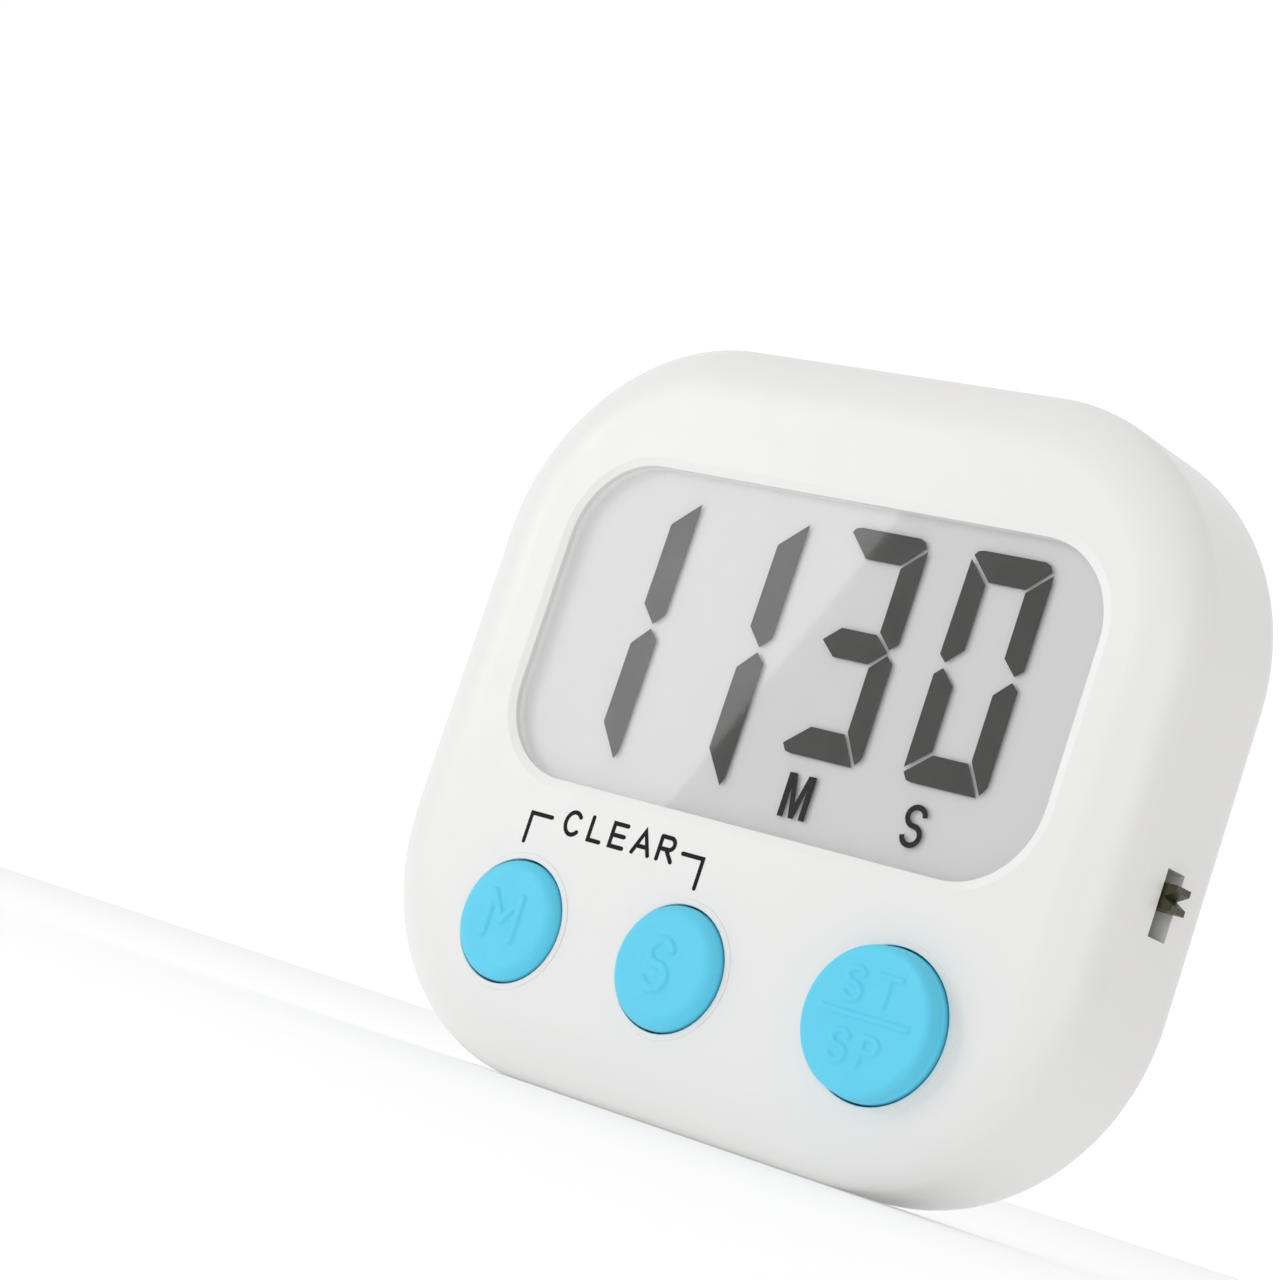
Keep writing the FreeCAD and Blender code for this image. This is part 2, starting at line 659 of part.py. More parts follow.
def chip_blob():
    """Drop of black resin over the bonded chip."""
    x, rise = CHIP_PLACE
    ball = Part.makeSphere(CHIP_CURVE, point(x, BOARD_BACK + CHIP_HEIGHT - CHIP_CURVE, rise))
    return ball.common(slab(BOARD_BACK, FAR))


def crystal():
    """Watch crystal in its can, with two bent legs."""
    x, rise = CRYSTAL_PLACE
    axis = BOARD_BACK + CRYSTAL_RADIUS
    pieces = [rod(x, x + CRYSTAL_LENGTH, axis, rise, CRYSTAL_RADIUS)]
    for side in (-1, 1):
        leg_rise = rise + side * CRYSTAL_LEG_PITCH / 2
        pieces.append(rod(x - CRYSTAL_LEG, x + 0.1, axis, leg_rise, 0.15))
        foot = x - CRYSTAL_LEG - 0.4
        pieces.append(block(foot, foot + 0.5, BOARD_BACK, axis + 0.2, leg_rise - 0.2, leg_rise + 0.2))
    return joined(pieces)


def chips(count, rise, height):
    """Row of small surface-mounted parts, each with a body and two raised end caps."""
    solids = []
    half_width = CHIP_WIDTH / 2
    for index in range(count):
        x = CHIP_ROW_START + CHIP_PITCH * index
        reach = CHIP_LENGTH / 2
        end = BOARD_BACK + height
        pieces = [block(x - reach, x + reach, BOARD_BACK, end, rise - half_width, rise + half_width)]
        for start in (x - reach - CHIP_CAP_STEP, x + reach + CHIP_CAP_STEP - CHIP_CAP):
            low = rise - half_width - CHIP_CAP_STEP
            high = rise + half_width + CHIP_CAP_STEP
            pieces.append(block(start, start + CHIP_CAP, BOARD_BACK, end + CHIP_CAP_STEP, low, high))
        solids.append(joined(pieces))
    return Part.makeCompound(solids)


def drive_transistor():
    """Transistor that drives the buzzer, with its three feet."""
    x, rise = TRANSISTOR_PLACE
    length, width, height = TRANSISTOR_SIZE
    end = BOARD_BACK + height
    low = rise - width / 2
    pieces = [block(x - length / 2, x + length / 2, BOARD_BACK + 0.1, end, low, low + width)]
    for foot_x, foot_rise in TRANSISTOR_FEET:
        left = x + foot_x - 0.2
        foot_low = rise + foot_rise - 0.35
        pieces.append(block(left, left + 0.4, BOARD_BACK, BOARD_BACK + 0.5, foot_low, foot_low + 0.7))
    return joined(pieces)


def boost_coil():
    """Ferrite bobbin that raises the buzzer's voltage."""
    x, rise = COIL_PLACE
    end = BOARD_BACK + COIL_HEIGHT
    low = disc(x, rise, COIL_RADIUS, BOARD_BACK, BOARD_BACK + COIL_FLANGE)
    core = disc(x, rise, COIL_RADIUS - COIL_FLANGE, BOARD_BACK, end)
    high = disc(x, rise, COIL_RADIUS, end - COIL_FLANGE, end)
    return joined([low, core, high])


# ---------------------------------------------------------------- keys

def key_contacts():
    """Plated contact under each key, as two half discs."""
    pads = []
    half_split = PAD_SPLIT / 2
    for x, rise, _, _ in KEYS.values():
        pad = disc(x, rise, PAD_RADIUS, BOARD_DEPTH - PAD_THICKNESS, BOARD_DEPTH)
        pads.append(pad.common(block(x - PAD_RADIUS, x - half_split, 0, FAR, -FAR, FAR)))
        pads.append(pad.common(block(x + half_split, x + PAD_RADIUS, 0, FAR, -FAR, FAR)))
    return Part.makeCompound(pads)


def keypad_mat():
    """Rubber sheet on the board, with an opening under each dome."""
    sheet = inner_plate(BOARD_EDGE_INSET + 1.6, BOARD_DEPTH - MAT_THICKNESS, BOARD_DEPTH)
    sheet = sheet.common(block(-24.6, 24.9, 0, FAR, -23.8, -11.9))
    cuts = [disc(x, rise, MAT_OPENING, 0, FAR) for x, rise, _, _ in KEYS.values()]
    for x, rise in CASE_SCREWS + BOARD_SCREWS:
        cuts.append(disc(x, rise, BOSS_RADIUS + 0.3, 0, FAR))
    return sheet.cut(Part.makeCompound(cuts))


def key_dome(x, rise):
    """Hollow rubber dome: a crown under the key and a thin sloping skirt down to the board."""
    crown = disc(x, rise, DOME_RADIUS, DOME_TOP, DOME_TOP + DOME_CROWN)
    start = DOME_TOP + 0.2
    outside = cone(x, rise, DOME_RADIUS, DOME_FOOT_RADIUS, start, BOARD_DEPTH)
    inside = cone(x, rise, DOME_RADIUS - DOME_SKIRT, DOME_FOOT_RADIUS - DOME_SKIRT, start, BOARD_DEPTH)
    return joined([crown, outside.cut(inside)])


def key_pill(x, rise):
    """Carbon pill under the dome's crown."""
    start = DOME_TOP + DOME_CROWN
    return disc(x, rise, PILL_RADIUS, start, start + PILL_THICKNESS)


def key_cap(x, rise, radius, stand_out):
    """Key: a round cap with a soft edge, a collar behind the wall and a stem to the dome."""
    collar_end = KEY_COLLAR_DEPTH + KEY_COLLAR_THICKNESS
    cap = disc(x, rise, radius, -stand_out, collar_end)
    cap = cap.makeFillet(min(KEY_EDGE, stand_out * 0.85), front_rim(cap, -stand_out))
    collar = disc(x, rise, radius + KEY_COLLAR, KEY_COLLAR_DEPTH, collar_end)
    stem = disc(x, rise, STEM_RADIUS, collar_end - 0.1, DOME_TOP)
    return joined([cap, collar, stem])


# ---------------------------------------------------------------- slide switch

def switch_room(inner):
    """Space cleared round the slide switch, from this x outwards."""
    near = SWITCH_DEPTH - SWITCH_BODY / 2 - SWITCH_ROOM
    far = SWITCH_DEPTH + SWITCH_BODY / 2 + SWITCH_ROOM
    low = SWITCH_RISE - SWITCH_LENGTH / 2 - SWITCH_ROOM
    high = SWITCH_RISE + SWITCH_LENGTH / 2 + SWITCH_ROOM
    return block(inner, FAR, near, far, low, high)


def switch_block(x0, x1, half_depth, half_rise):
    """Box centred on the switch's own axis."""
    near = SWITCH_DEPTH - half_depth
    low = SWITCH_RISE - half_rise
    return block(x0, x1, near, near + 2 * half_depth, low, low + 2 * half_rise)


def switch_shell():
    """Folded steel shell of the slide switch, with the slot its knob moves in."""
    half_depth = SWITCH_BODY / 2
    half_rise = SWITCH_LENGTH / 2
    outer = switch_block(SWITCH_INNER, SWITCH_OUTER, half_depth, half_rise)
    inner = switch_block(SWITCH_INNER - 1, SWITCH_OUTER - SHEET, half_depth - SHEET, half_rise - SHEET)
    slot = switch_block(0, FAR, KNOB_WIDTH / 2 + 0.15, (KNOB_LENGTH + KNOB_TRAVEL) / 2 + 0.15)
    return outer.cut(inner).cut(slot)


def switch_base():
    """Insulating plate that closes the switch."""
    start = SWITCH_INNER - BASE_THICKNESS + 0.6
    return switch_block(start, start + BASE_THICKNESS, SWITCH_BODY / 2 - SHEET, SWITCH_LENGTH / 2 - SHEET)


def switch_terminals():
    """Three pins from the switch base, lying on the board's front face."""
    pins = []
    end = SWITCH_INNER - BASE_THICKNESS + 0.6
    for step in (-1, 0, 1):
        low = SWITCH_RISE + PIN_PITCH * step - PIN_WIDTH / 2
        pins.append(block(end - PIN_LENGTH, end, BOARD_DEPTH - SHEET, BOARD_DEPTH, low, low + PIN_WIDTH))
    return Part.makeCompound(pins)


def switch_knob():
    """Slider inside the switch and its notched knob, at the top of the travel."""
    rise = SWITCH_RISE + KNOB_TRAVEL / 2
    low = rise - KNOB_LENGTH / 2
    high = rise + KNOB_LENGTH / 2
    tip = CASE_WIDTH / 2 + KNOB_REACH
    half_depth = SWITCH_BODY / 2 - SHEET - 0.1
    slider_in = SWITCH_INNER + 0.7
    slider_out = SWITCH_OUTER - SHEET - 0.1
    near = SWITCH_DEPTH - half_depth
    far = SWITCH_DEPTH + half_depth
    slider = block(slider_in, slider_out, near, far, low - SLIDER_SPREAD, high + SLIDER_SPREAD)
    near = SWITCH_DEPTH - KNOB_WIDTH / 2
    knob = block(slider_out - BITE, tip, near, near + KNOB_WIDTH, low, high)
    notch = [
        point(tip + 0.1, 0, rise + KNOB_NOTCH_HALF),
        point(tip - KNOB_NOTCH, 0, rise),
        point(tip + 0.1, 0, rise - KNOB_NOTCH_HALF),
        point(tip + 0.1, 0, rise + KNOB_NOTCH_HALF),
    ]
    groove = Part.Face(Part.makePolygon(notch)).extrude(DEEPER * FAR)
    return joined([slider, knob]).cut(groove)


# ---------------------------------------------------------------- buzzer

def buzzer_plate():
    """Brass disc of the buzzer."""
    return disc(BUZZER_X, BUZZER_RISE, BUZZER_RADIUS, BUZZER_DEPTH, BUZZER_DEPTH + BUZZER_SHEET)


def buzzer_ceramic():
    """Ceramic disc on the brass one."""
    return disc(BUZZER_X, BUZZER_RISE, CERAMIC_RADIUS, BUZZER_DEPTH - CERAMIC_THICKNESS, BUZZER_DEPTH)


def buzzer_wire(start, end):
    """One insulated lead that lifts off the buzzer, crosses over and drops to the board."""
    lifted = start - DEEPER * 0.9
    over = FreeCAD.Vector(end.x, lifted.y, end.z)
    return wire_run([start, lifted, over, end], LEAD_RADIUS)


def buzzer_wire_red():
    """Lead from the ceramic disc."""
    start = point(BUZZER_X + 2.0, BUZZER_DEPTH - CERAMIC_THICKNESS, BUZZER_RISE)
    return buzzer_wire(start, point(BUZZER_X + 8.0, BOARD_BACK, BUZZER_RISE + 4.0))


def buzzer_wire_black():
    """Lead from the rim of the brass disc."""
    start = point(BUZZER_X + 6.2, BUZZER_DEPTH, BUZZER_RISE - 1.0)
    return buzzer_wire(start, point(BUZZER_X + 8.0, BOARD_BACK, BUZZER_RISE + 1.5))


# ---------------------------------------------------------------- battery

def button_cell():
    """Button cell: a can with a rounded rim and a smaller raised cap towards the well's floor."""
    can = disc(0, DOOR_RISE, COIN_CELL_RADIUS, BUTTON_CELL_FRONT + 0.6, BUTTON_CELL_BACK)
    can = can.makeFillet(0.4, can.Edges)
    cap = disc(0, DOOR_RISE, COIN_CELL_RADIUS - 1.0, BUTTON_CELL_FRONT, BUTTON_CELL_FRONT + 1.2)
    return joined([can, cap])


def battery_door():
    """Round turning door with a coin slot, a skirt and three lugs."""
    face = disc(0, DOOR_RISE, DOOR_RADIUS, DOOR_SEAT + 0.05, CASE_DEPTH)
    face = face.makeFillet(0.2, back_rim(face, CASE_DEPTH))
    skirt_outer = DOOR_RADIUS - LUG_REACH - 0.1
    skirt_start = DOOR_SEAT - SKIRT_DEPTH
    pieces = [face, tube(0, DOOR_RISE, skirt_outer, WELL_RADIUS + 0.1, skirt_start, DOOR_SEAT + BITE)]
    lug_inner = skirt_outer - 0.25
    lug_outer = DOOR_RADIUS - 0.1
    lug_end = skirt_start + LUG_THICKNESS
    for angle in LUG_ANGLES:
        pieces.append(sector(0, DOOR_RISE, lug_inner, lug_outer, skirt_start, lug_end, angle, LUG_SPAN))
    slot_floor = CASE_DEPTH - COIN_SLOT_DEPTH
    slot_half = COIN_SLOT_WIDTH / 2
    low = DOOR_RISE - slot_half
    cuts = [block(-COIN_SLOT_HALF, COIN_SLOT_HALF, slot_floor, FAR, low, low + COIN_SLOT_WIDTH)]
    for x in (-COIN_SLOT_HALF, COIN_SLOT_HALF):
        cuts.append(disc(x, DOOR_RISE, slot_half, slot_floor, FAR))
    return joined(pieces).cut(Part.makeCompound(cuts))


def battery_spring():
    """Negative contact: a plate on the well's floor, a sprung leaf up to the cell and a solder tab."""
    half = CONTACT_WIDTH / 2
    low = DOOR_RISE - half
    plate = block(-WELL_RADIUS - 2.2, 2.0, WELL_FLOOR, WELL_FLOOR + CONTACT_SHEET, low, low + CONTACT_WIDTH)
    touch = BUTTON_CELL_FRONT - 0.02
    leaf_low = low + CONTACT_SHEET
    leaf = [
        point(1.8, WELL_FLOOR, leaf_low),
        point(2.0, WELL_FLOOR, leaf_low),
        point(-1.8, touch, leaf_low),
        point(-2.2, touch, leaf_low),
        point(-2.2, touch - CONTACT_SHEET, leaf_low),
        point(-1.9, touch - CONTACT_SHEET, leaf_low),
        point(1.8, WELL_FLOOR, leaf_low),
    ]
    leaf_width = FreeCAD.Vector(0, 0, CONTACT_WIDTH - 2 * CONTACT_SHEET)
    return joined([plate, Part.Face(Part.makePolygon(leaf)).extrude(leaf_width)])


def battery_clip():
    """Positive contact: a strip up the side of the cell and a solder tab outside the well."""
    inner = COIN_CELL_RADIUS + 0.05
    start = WELL_FLOOR + 0.3
    half = CONTACT_WIDTH / 2
    strip = tube(0, DOOR_RISE, inner + 0.25, inner, start, BUTTON_CELL_BACK - 0.8)
    strip = strip.common(block(0, FAR, 0, FAR, DOOR_RISE - half, DOOR_RISE + half))
    tab_end = WELL_RADIUS + 2.4
    tab = block(inner + 0.05, tab_end, start, start + CONTACT_SHEET, DOOR_RISE - half, DOOR_RISE + half)
    return joined([strip, tab])


def battery_wire(side, tab_depth):
    """One insulated lead from a battery contact down to the board."""
    tab_x = side * (WELL_RADIUS + 1.6)
    board_x = side * 12.0
    board_rise = BOARD_TOP - 2.5
    over = BOARD_BACK + 1.2
    route = [
        point(tab_x, tab_depth, DOOR_RISE),
        point(tab_x, over, DOOR_RISE),
        point(board_x, over, board_rise),
        point(board_x, BOARD_BACK, board_rise),
    ]
    return wire_run(route, LEAD_RADIUS)


# ---------------------------------------------------------------- magnets and stand

def magnet(side):
    """Disc magnet, flush with the back."""
    return disc(side * MAGNET_X, MAGNET_RISE, MAGNET_RADIUS, MAGNET_FLOOR, CASE_DEPTH - 0.02)


def stand():
    """Fold-out leg on two hinge pins, folded flat in its recess."""
    half = STAND_WIDTH / 2
    near = STAND_AXIS - STAND_THICKNESS / 2
    far = STAND_AXIS + STAND_THICKNESS / 2
    leg = block(-half, half, near, far, STAND_LOW, STAND_HINGE_RISE)
    feet = [e for e in depth_edges(leg) if e.BoundBox.ZMax < MIDDLE + STAND_LOW + 1]
    leg = leg.makeFillet(STAND_CORNER, feet)
    window_width = STAND_WIDTH - 2 * STAND_SIDE_RAIL
    leg = leg.cut(rounded_plate(window_width, STAND_WINDOW_HEIGHT, 2.0, near, far, STAND_LOW + 11.5))
    pin = half + STAND_PIN_LENGTH
    pieces = [leg, rod(-half, half, STAND_AXIS, STAND_HINGE_RISE, STAND_THICKNESS / 2)]
    pieces.append(rod(-pin, pin, STAND_AXIS, STAND_HINGE_RISE, STAND_PIN_RADIUS))
    for index in range(3):
        low = STAND_LOW + 1.4 + 1.2 * index
        pieces.append(block(-5, 5, far - 0.2, far + 0.1, low, low + 0.6))
    return joined(pieces)


# ---------------------------------------------------------------- screws

def screw(x, rise, head_radius, seat, head_end, shank_start, shank_radius):
    """Cross-head screw that points to the front, with its head at the back."""
    head = disc(x, rise, head_radius, seat, head_end)
    head = head.makeFillet(0.3, back_rim(head, head_end))
    whole = joined([head, disc(x, rise, shank_radius, shank_start, seat)])
    arm = head_radius * 0.6
    groove = 0.2
    floor = head_end - 0.45
    across = block(x - arm, x + arm, floor, FAR, rise - groove, rise + groove)
    upright = block(x - groove, x + groove, floor, FAR, rise - arm, rise + arm)
    return whole.cut(Part.makeCompound([across, upright]))


def case_screws():
    """Four self-tapping screws that hold the rear cover."""
    seat = CASE_DEPTH - SCREW_SEAT
    head_end = CASE_DEPTH - 0.15
    start = seat - SCREW_LENGTH
    solids = []
    for x, rise in CASE_SCREWS:
        solids.append(screw(x, rise, SCREW_HEAD_RADIUS, seat, head_end, start, SCREW_RADIUS))
    return Part.makeCompound(solids)


def board_screws():
    """Three self-tapping screws that hold the board."""
    solids = []
    for x, rise in BOARD_SCREWS:
        head_end = BOARD_BACK + 0.9
        start = BOARD_DEPTH - 3.5
        solids.append(screw(x, rise, BOARD_SCREW_HEAD, BOARD_BACK, head_end, start, BOARD_SCREW_RADIUS))
    return Part.makeCompound(solids)


def build_parts():
    """Every sub-part, by node name."""
    parts = {
        "front_shell": front_shell(),
        "rear_cover": rear_cover(),
        "window_lens": window_lens(),
        "lcd_polariser": lcd_polariser(),
        "lcd_front_glass": lcd_front_glass(),
        "lcd_rear_glass": lcd_rear_glass(),
        "lcd_reflector": lcd_reflector(),
        "lcd_frame": lcd_frame(),
        "zebra_strip": zebra_strip(),
        "circuit_board": circuit_board(),
        "chip_blob": chip_blob(),
        "crystal": crystal(),
        "chip_capacitors": chips(5, CAPACITOR_RISE, 0.7),
        "chip_resistors": chips(4, RESISTOR_RISE, 0.45),
        "drive_transistor": drive_transistor(),
        "boost_coil": boost_coil(),
        "key_contacts": key_contacts(),
        "keypad_mat": keypad_mat(),
        "switch_shell": switch_shell(),
        "switch_base": switch_base(),
        "switch_terminals": switch_terminals(),
        "switch_knob": switch_knob(),
        "buzzer_plate": buzzer_plate(),
        "buzzer_ceramic": buzzer_ceramic(),
        "buzzer_wire_red": buzzer_wire_red(),
        "buzzer_wire_black": buzzer_wire_black(),
        "button_cell": button_cell(),
        "battery_door": battery_door(),
        "battery_spring": battery_spring(),
        "battery_clip": battery_clip(),
        "battery_wire_red": battery_wire(1, WELL_FLOOR + 0.3 + CONTACT_SHEET),
        "battery_wire_black": battery_wire(-1, WELL_FLOOR + CONTACT_SHEET),
        "magnet_left": magnet(-1),
        "magnet_right": magnet(1),
        "stand": stand(),
        "case_screws": case_screws(),
        "board_screws": board_screws(),
    }
    for name, (x, rise, radius, stand_out) in KEYS.items():
        parts[name + "_key"] = key_cap(x, rise, radius, stand_out)
        parts[name + "_dome"] = key_dome(x, rise)
        parts[name + "_pill"] = key_pill(x, rise)
    return parts


os.makedirs("parts", exist_ok=True)
for node, shape in build_parts().items():
    shape.exportStep("parts/" + node + ".step")
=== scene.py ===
import bpy
import bmesh
import json
import math
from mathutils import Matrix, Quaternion, Vector


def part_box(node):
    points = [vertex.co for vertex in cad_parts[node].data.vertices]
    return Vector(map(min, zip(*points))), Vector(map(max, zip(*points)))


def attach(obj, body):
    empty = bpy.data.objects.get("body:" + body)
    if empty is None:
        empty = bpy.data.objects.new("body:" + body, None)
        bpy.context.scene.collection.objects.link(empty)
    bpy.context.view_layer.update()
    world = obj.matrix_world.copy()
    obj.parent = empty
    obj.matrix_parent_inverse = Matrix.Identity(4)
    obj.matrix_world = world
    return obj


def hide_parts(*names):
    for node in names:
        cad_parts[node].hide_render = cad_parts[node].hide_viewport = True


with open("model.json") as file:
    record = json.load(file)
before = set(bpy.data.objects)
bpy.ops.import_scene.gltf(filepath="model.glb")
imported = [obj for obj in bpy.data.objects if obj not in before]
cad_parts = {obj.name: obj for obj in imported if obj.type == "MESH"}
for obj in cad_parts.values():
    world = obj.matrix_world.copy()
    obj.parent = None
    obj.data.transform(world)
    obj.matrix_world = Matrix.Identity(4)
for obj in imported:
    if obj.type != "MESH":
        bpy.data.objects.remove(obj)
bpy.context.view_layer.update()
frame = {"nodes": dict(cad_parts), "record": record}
NODES = frame["nodes"]
MM = 0.001
SCENE = bpy.context.scene

# Places read from the frame. The display faces -Y and +Z is up.
LENS_LOW, LENS_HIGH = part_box("window_lens")
COVER_LOW, COVER_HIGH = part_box("rear_cover")
CASE_MIDDLE = (COVER_LOW.z + COVER_HIGH.z) / 2
WINDOW_RECESS = 0.4 * MM
FACE = LENS_LOW.y - WINDOW_RECESS


# ---------------------------------------------------------------- materials

def new_shader(name, base, roughness):
    """Material with one Principled shader; returns (material, tree, shader)."""
    material = bpy.data.materials.new(name)
    material.use_nodes = True
    tree = material.node_tree
    shader = tree.nodes["Principled BSDF"]
    shader.inputs["Base Color"].default_value = (*base, 1)
    shader.inputs["Roughness"].default_value = roughness
    return material, tree, shader


def noise(tree, scale, detail=3.0, stretch=(1, 1, 1)):
    """Noise in the object's own coordinates, in features per metre."""
    coords = tree.nodes.new("ShaderNodeTexCoord")
    mapping = tree.nodes.new("ShaderNodeMapping")
    mapping.inputs["Scale"].default_value = stretch
    texture = tree.nodes.new("ShaderNodeTexNoise")
    texture.inputs["Scale"].default_value = scale
    texture.inputs["Detail"].default_value = detail
    tree.links.new(coords.outputs["Object"], mapping.inputs["Vector"])
    tree.links.new(mapping.outputs["Vector"], texture.inputs["Vector"])
    return texture.outputs["Fac"]


# Where most of a noise texture's values lie.
NOISE_LOW = 0.3
NOISE_HIGH = 0.7


def spread(tree, value, low, high):
    """Maps a 0..1 value to a range of numbers."""
    node = tree.nodes.new("ShaderNodeMapRange")
    node.inputs["From Min"].default_value = NOISE_LOW
    node.inputs["From Max"].default_value = NOISE_HIGH
    node.inputs["To Min"].default_value = low
    node.inputs["To Max"].default_value = high
    tree.links.new(value, node.inputs["Value"])
    return node.outputs["Result"]


def tint(tree, value, dark, light):
    """Mixes two colours by a 0..1 value."""
    node = tree.nodes.new("ShaderNodeMix")
    node.data_type = "RGBA"
    node.inputs["A"].default_value = (*dark, 1)
    node.inputs["B"].default_value = (*light, 1)
    tree.links.new(value, node.inputs["Factor"])
    return node.outputs["Result"]


def shade(colour, factor):
    """The colour made darker or lighter."""
    return tuple(min(1.0, c * factor) for c in colour)


def bumped(tree, shader, height, distance, strength=1.0):
    """Adds a bump of this height, in metres, to the shader."""
    bump = tree.nodes.new("ShaderNodeBump")
    bump.inputs["Distance"].default_value = distance
    bump.inputs["Strength"].default_value = strength
    tree.links.new(height, bump.inputs["Height"])
    tree.links.new(bump.outputs["Normal"], shader.inputs["Normal"])


def moulded(name, colour, roughness, grain, depth, variation=0.03, stretch=(1, 1, 1)):
    """Moulded plastic, rubber or ceramic: cloudy colour, uneven gloss and a fine grain."""
    material, tree, shader = new_shader(name, colour, roughness)
    cloud = noise(tree, 90, 4)
    colour_mix = tint(tree, cloud, shade(colour, 1 - variation), shade(colour, 1 + variation))
    tree.links.new(colour_mix, shader.inputs["Base Color"])
    gloss = noise(tree, 400, 3)
    uneven = spread(tree, gloss, roughness * 0.88, roughness * 1.12)
    tree.links.new(uneven, shader.inputs["Roughness"])
    bumped(tree, shader, noise(tree, grain, 4, stretch), depth)
    return material


def metal(name, colour, roughness, stretch, grain=2500, depth=0.000004):
    """Rolled or plated metal with fine drawn lines and faint stains."""
    material, tree, shader = new_shader(name, colour, roughness)
    shader.inputs["Metallic"].default_value = 1.0
    lines = noise(tree, grain, 5, stretch)
    stain = noise(tree, 260, 4)
    colour_mix = tint(tree, stain, shade(colour, 0.86), shade(colour, 1.08))
    tree.links.new(colour_mix, shader.inputs["Base Color"])
    tree.links.new(spread(tree, lines, roughness * 0.75, roughness * 1.3), shader.inputs["Roughness"])
    bumped(tree, shader, lines, depth)
    return material


def clear_sheet(name, ior, roughness, colour):
    """Thin clear plastic or glass: passes light straight on, and its outer faces mirror by angle."""
    material = bpy.data.materials.new(name)
    material.use_nodes = True
    tree = material.node_tree
    tree.nodes.clear()
    output = tree.nodes.new("ShaderNodeOutputMaterial")
    mix = tree.nodes.new("ShaderNodeMixShader")
    through = tree.nodes.new("ShaderNodeBsdfTransparent")
    mirror = tree.nodes.new("ShaderNodeBsdfGlossy")
    fresnel = tree.nodes.new("ShaderNodeFresnel")
    through.inputs["Color"].default_value = (*colour, 1)
    mirror.inputs["Color"].default_value = (1, 1, 1, 1)
    fresnel.inputs["IOR"].default_value = ior
    geometry = tree.nodes.new("ShaderNodeNewGeometry")
    outer_only = tree.nodes.new("ShaderNodeMath")
    outer_only.operation = "SUBTRACT"
    outer_only.use_clamp = True
    smear = noise(tree, 160, 4)
    tree.links.new(spread(tree, smear, roughness, roughness * 1.3), mirror.inputs["Roughness"])
    tree.links.new(fresnel.outputs["Fac"], outer_only.inputs[0])
    tree.links.new(geometry.outputs["Backfacing"], outer_only.inputs[1])
    tree.links.new(outer_only.outputs["Value"], mix.inputs["Fac"])
    tree.links.new(through.outputs["BSDF"], mix.inputs[1])
    tree.links.new(mirror.outputs["BSDF"], mix.inputs[2])
    tree.links.new(mix.outputs["Shader"], output.inputs["Surface"])
    return material


def striped(name, dark, light, pitch):
    """Rubber made of thin layers stacked along X."""
    material, tree, shader = new_shader(name, dark, 0.6)
    coords = tree.nodes.new("ShaderNodeTexCoord")
    wave = tree.nodes.new("ShaderNodeTexWave")
    wave.bands_direction = "X"
    wave.inputs["Scale"].default_value = 1 / pitch
    tree.links.new(coords.outputs["Object"], wave.inputs["Vector"])
    tree.links.new(tint(tree, wave.outputs["Fac"], dark, light), shader.inputs["Base Color"])
    bumped(tree, shader, wave.outputs["Fac"], 0.00002)
    return material


def laminate(name, mask, copper):
    """Circuit board: solder mask over tracks that show as paler lines."""
    material, tree, shader = new_shader(name, mask, 0.35)
    coords = tree.nodes.new("ShaderNodeTexCoord")
    bricks = tree.nodes.new("ShaderNodeTexBrick")
    bricks.inputs["Scale"].default_value = 160
    bricks.inputs["Mortar Size"].default_value = 0.03
    bricks.inputs["Color1"].default_value = (0, 0, 0, 1)
    bricks.inputs["Color2"].default_value = (0.25, 0.25, 0.25, 1)
    bricks.inputs["Mortar"].default_value = (1, 1, 1, 1)
    turn = tree.nodes.new("ShaderNodeMapping")
    turn.inputs["Rotation"].default_value = (math.pi / 2, 0, 0)
    tree.links.new(coords.outputs["Object"], turn.inputs["Vector"])
    tree.links.new(turn.outputs["Vector"], bricks.inputs["Vector"])
    tree.links.new(tint(tree, bricks.outputs["Color"], mask, copper), shader.inputs["Base Color"])
    bumped(tree, shader, bricks.outputs["Color"], 0.00002)
    return material


WHITE = (0.845, 0.838, 0.822)
SKY_BLUE = (0.112, 0.66, 0.90)
LCD_GREY = (0.67, 0.67, 0.67)
SEGMENT_INK = (0.016, 0.018, 0.013)
PRINT_INK = (0.006, 0.006, 0.006)
INK_GLOSS = 0.12

case_white = moulded("case_white", WHITE, 0.34, 5200, 0.000004, 0.008)
key_blue = moulded("key_blue", SKY_BLUE, 0.55, 5200, 0.000022, 0.03)
window_clear = clear_sheet("window_clear", 1.40, 0.022, (0.99, 0.99, 0.99))
cell_glass = clear_sheet("cell_glass", 1.45, 0.01, (0.96, 0.98, 0.97))
lcd_face = moulded("lcd_face", LCD_GREY, 0.5, 2500, 0.0000001, 0.012)
segment_dark = moulded("segment_dark", SEGMENT_INK, 0.45, 2500, 0.0000001, 0.12)
print_black = moulded("print_black", PRINT_INK, 0.45, 7000, 0.000001, 0.2)
print_black.node_tree.nodes["Principled BSDF"].inputs["Specular IOR Level"].default_value = INK_GLOSS

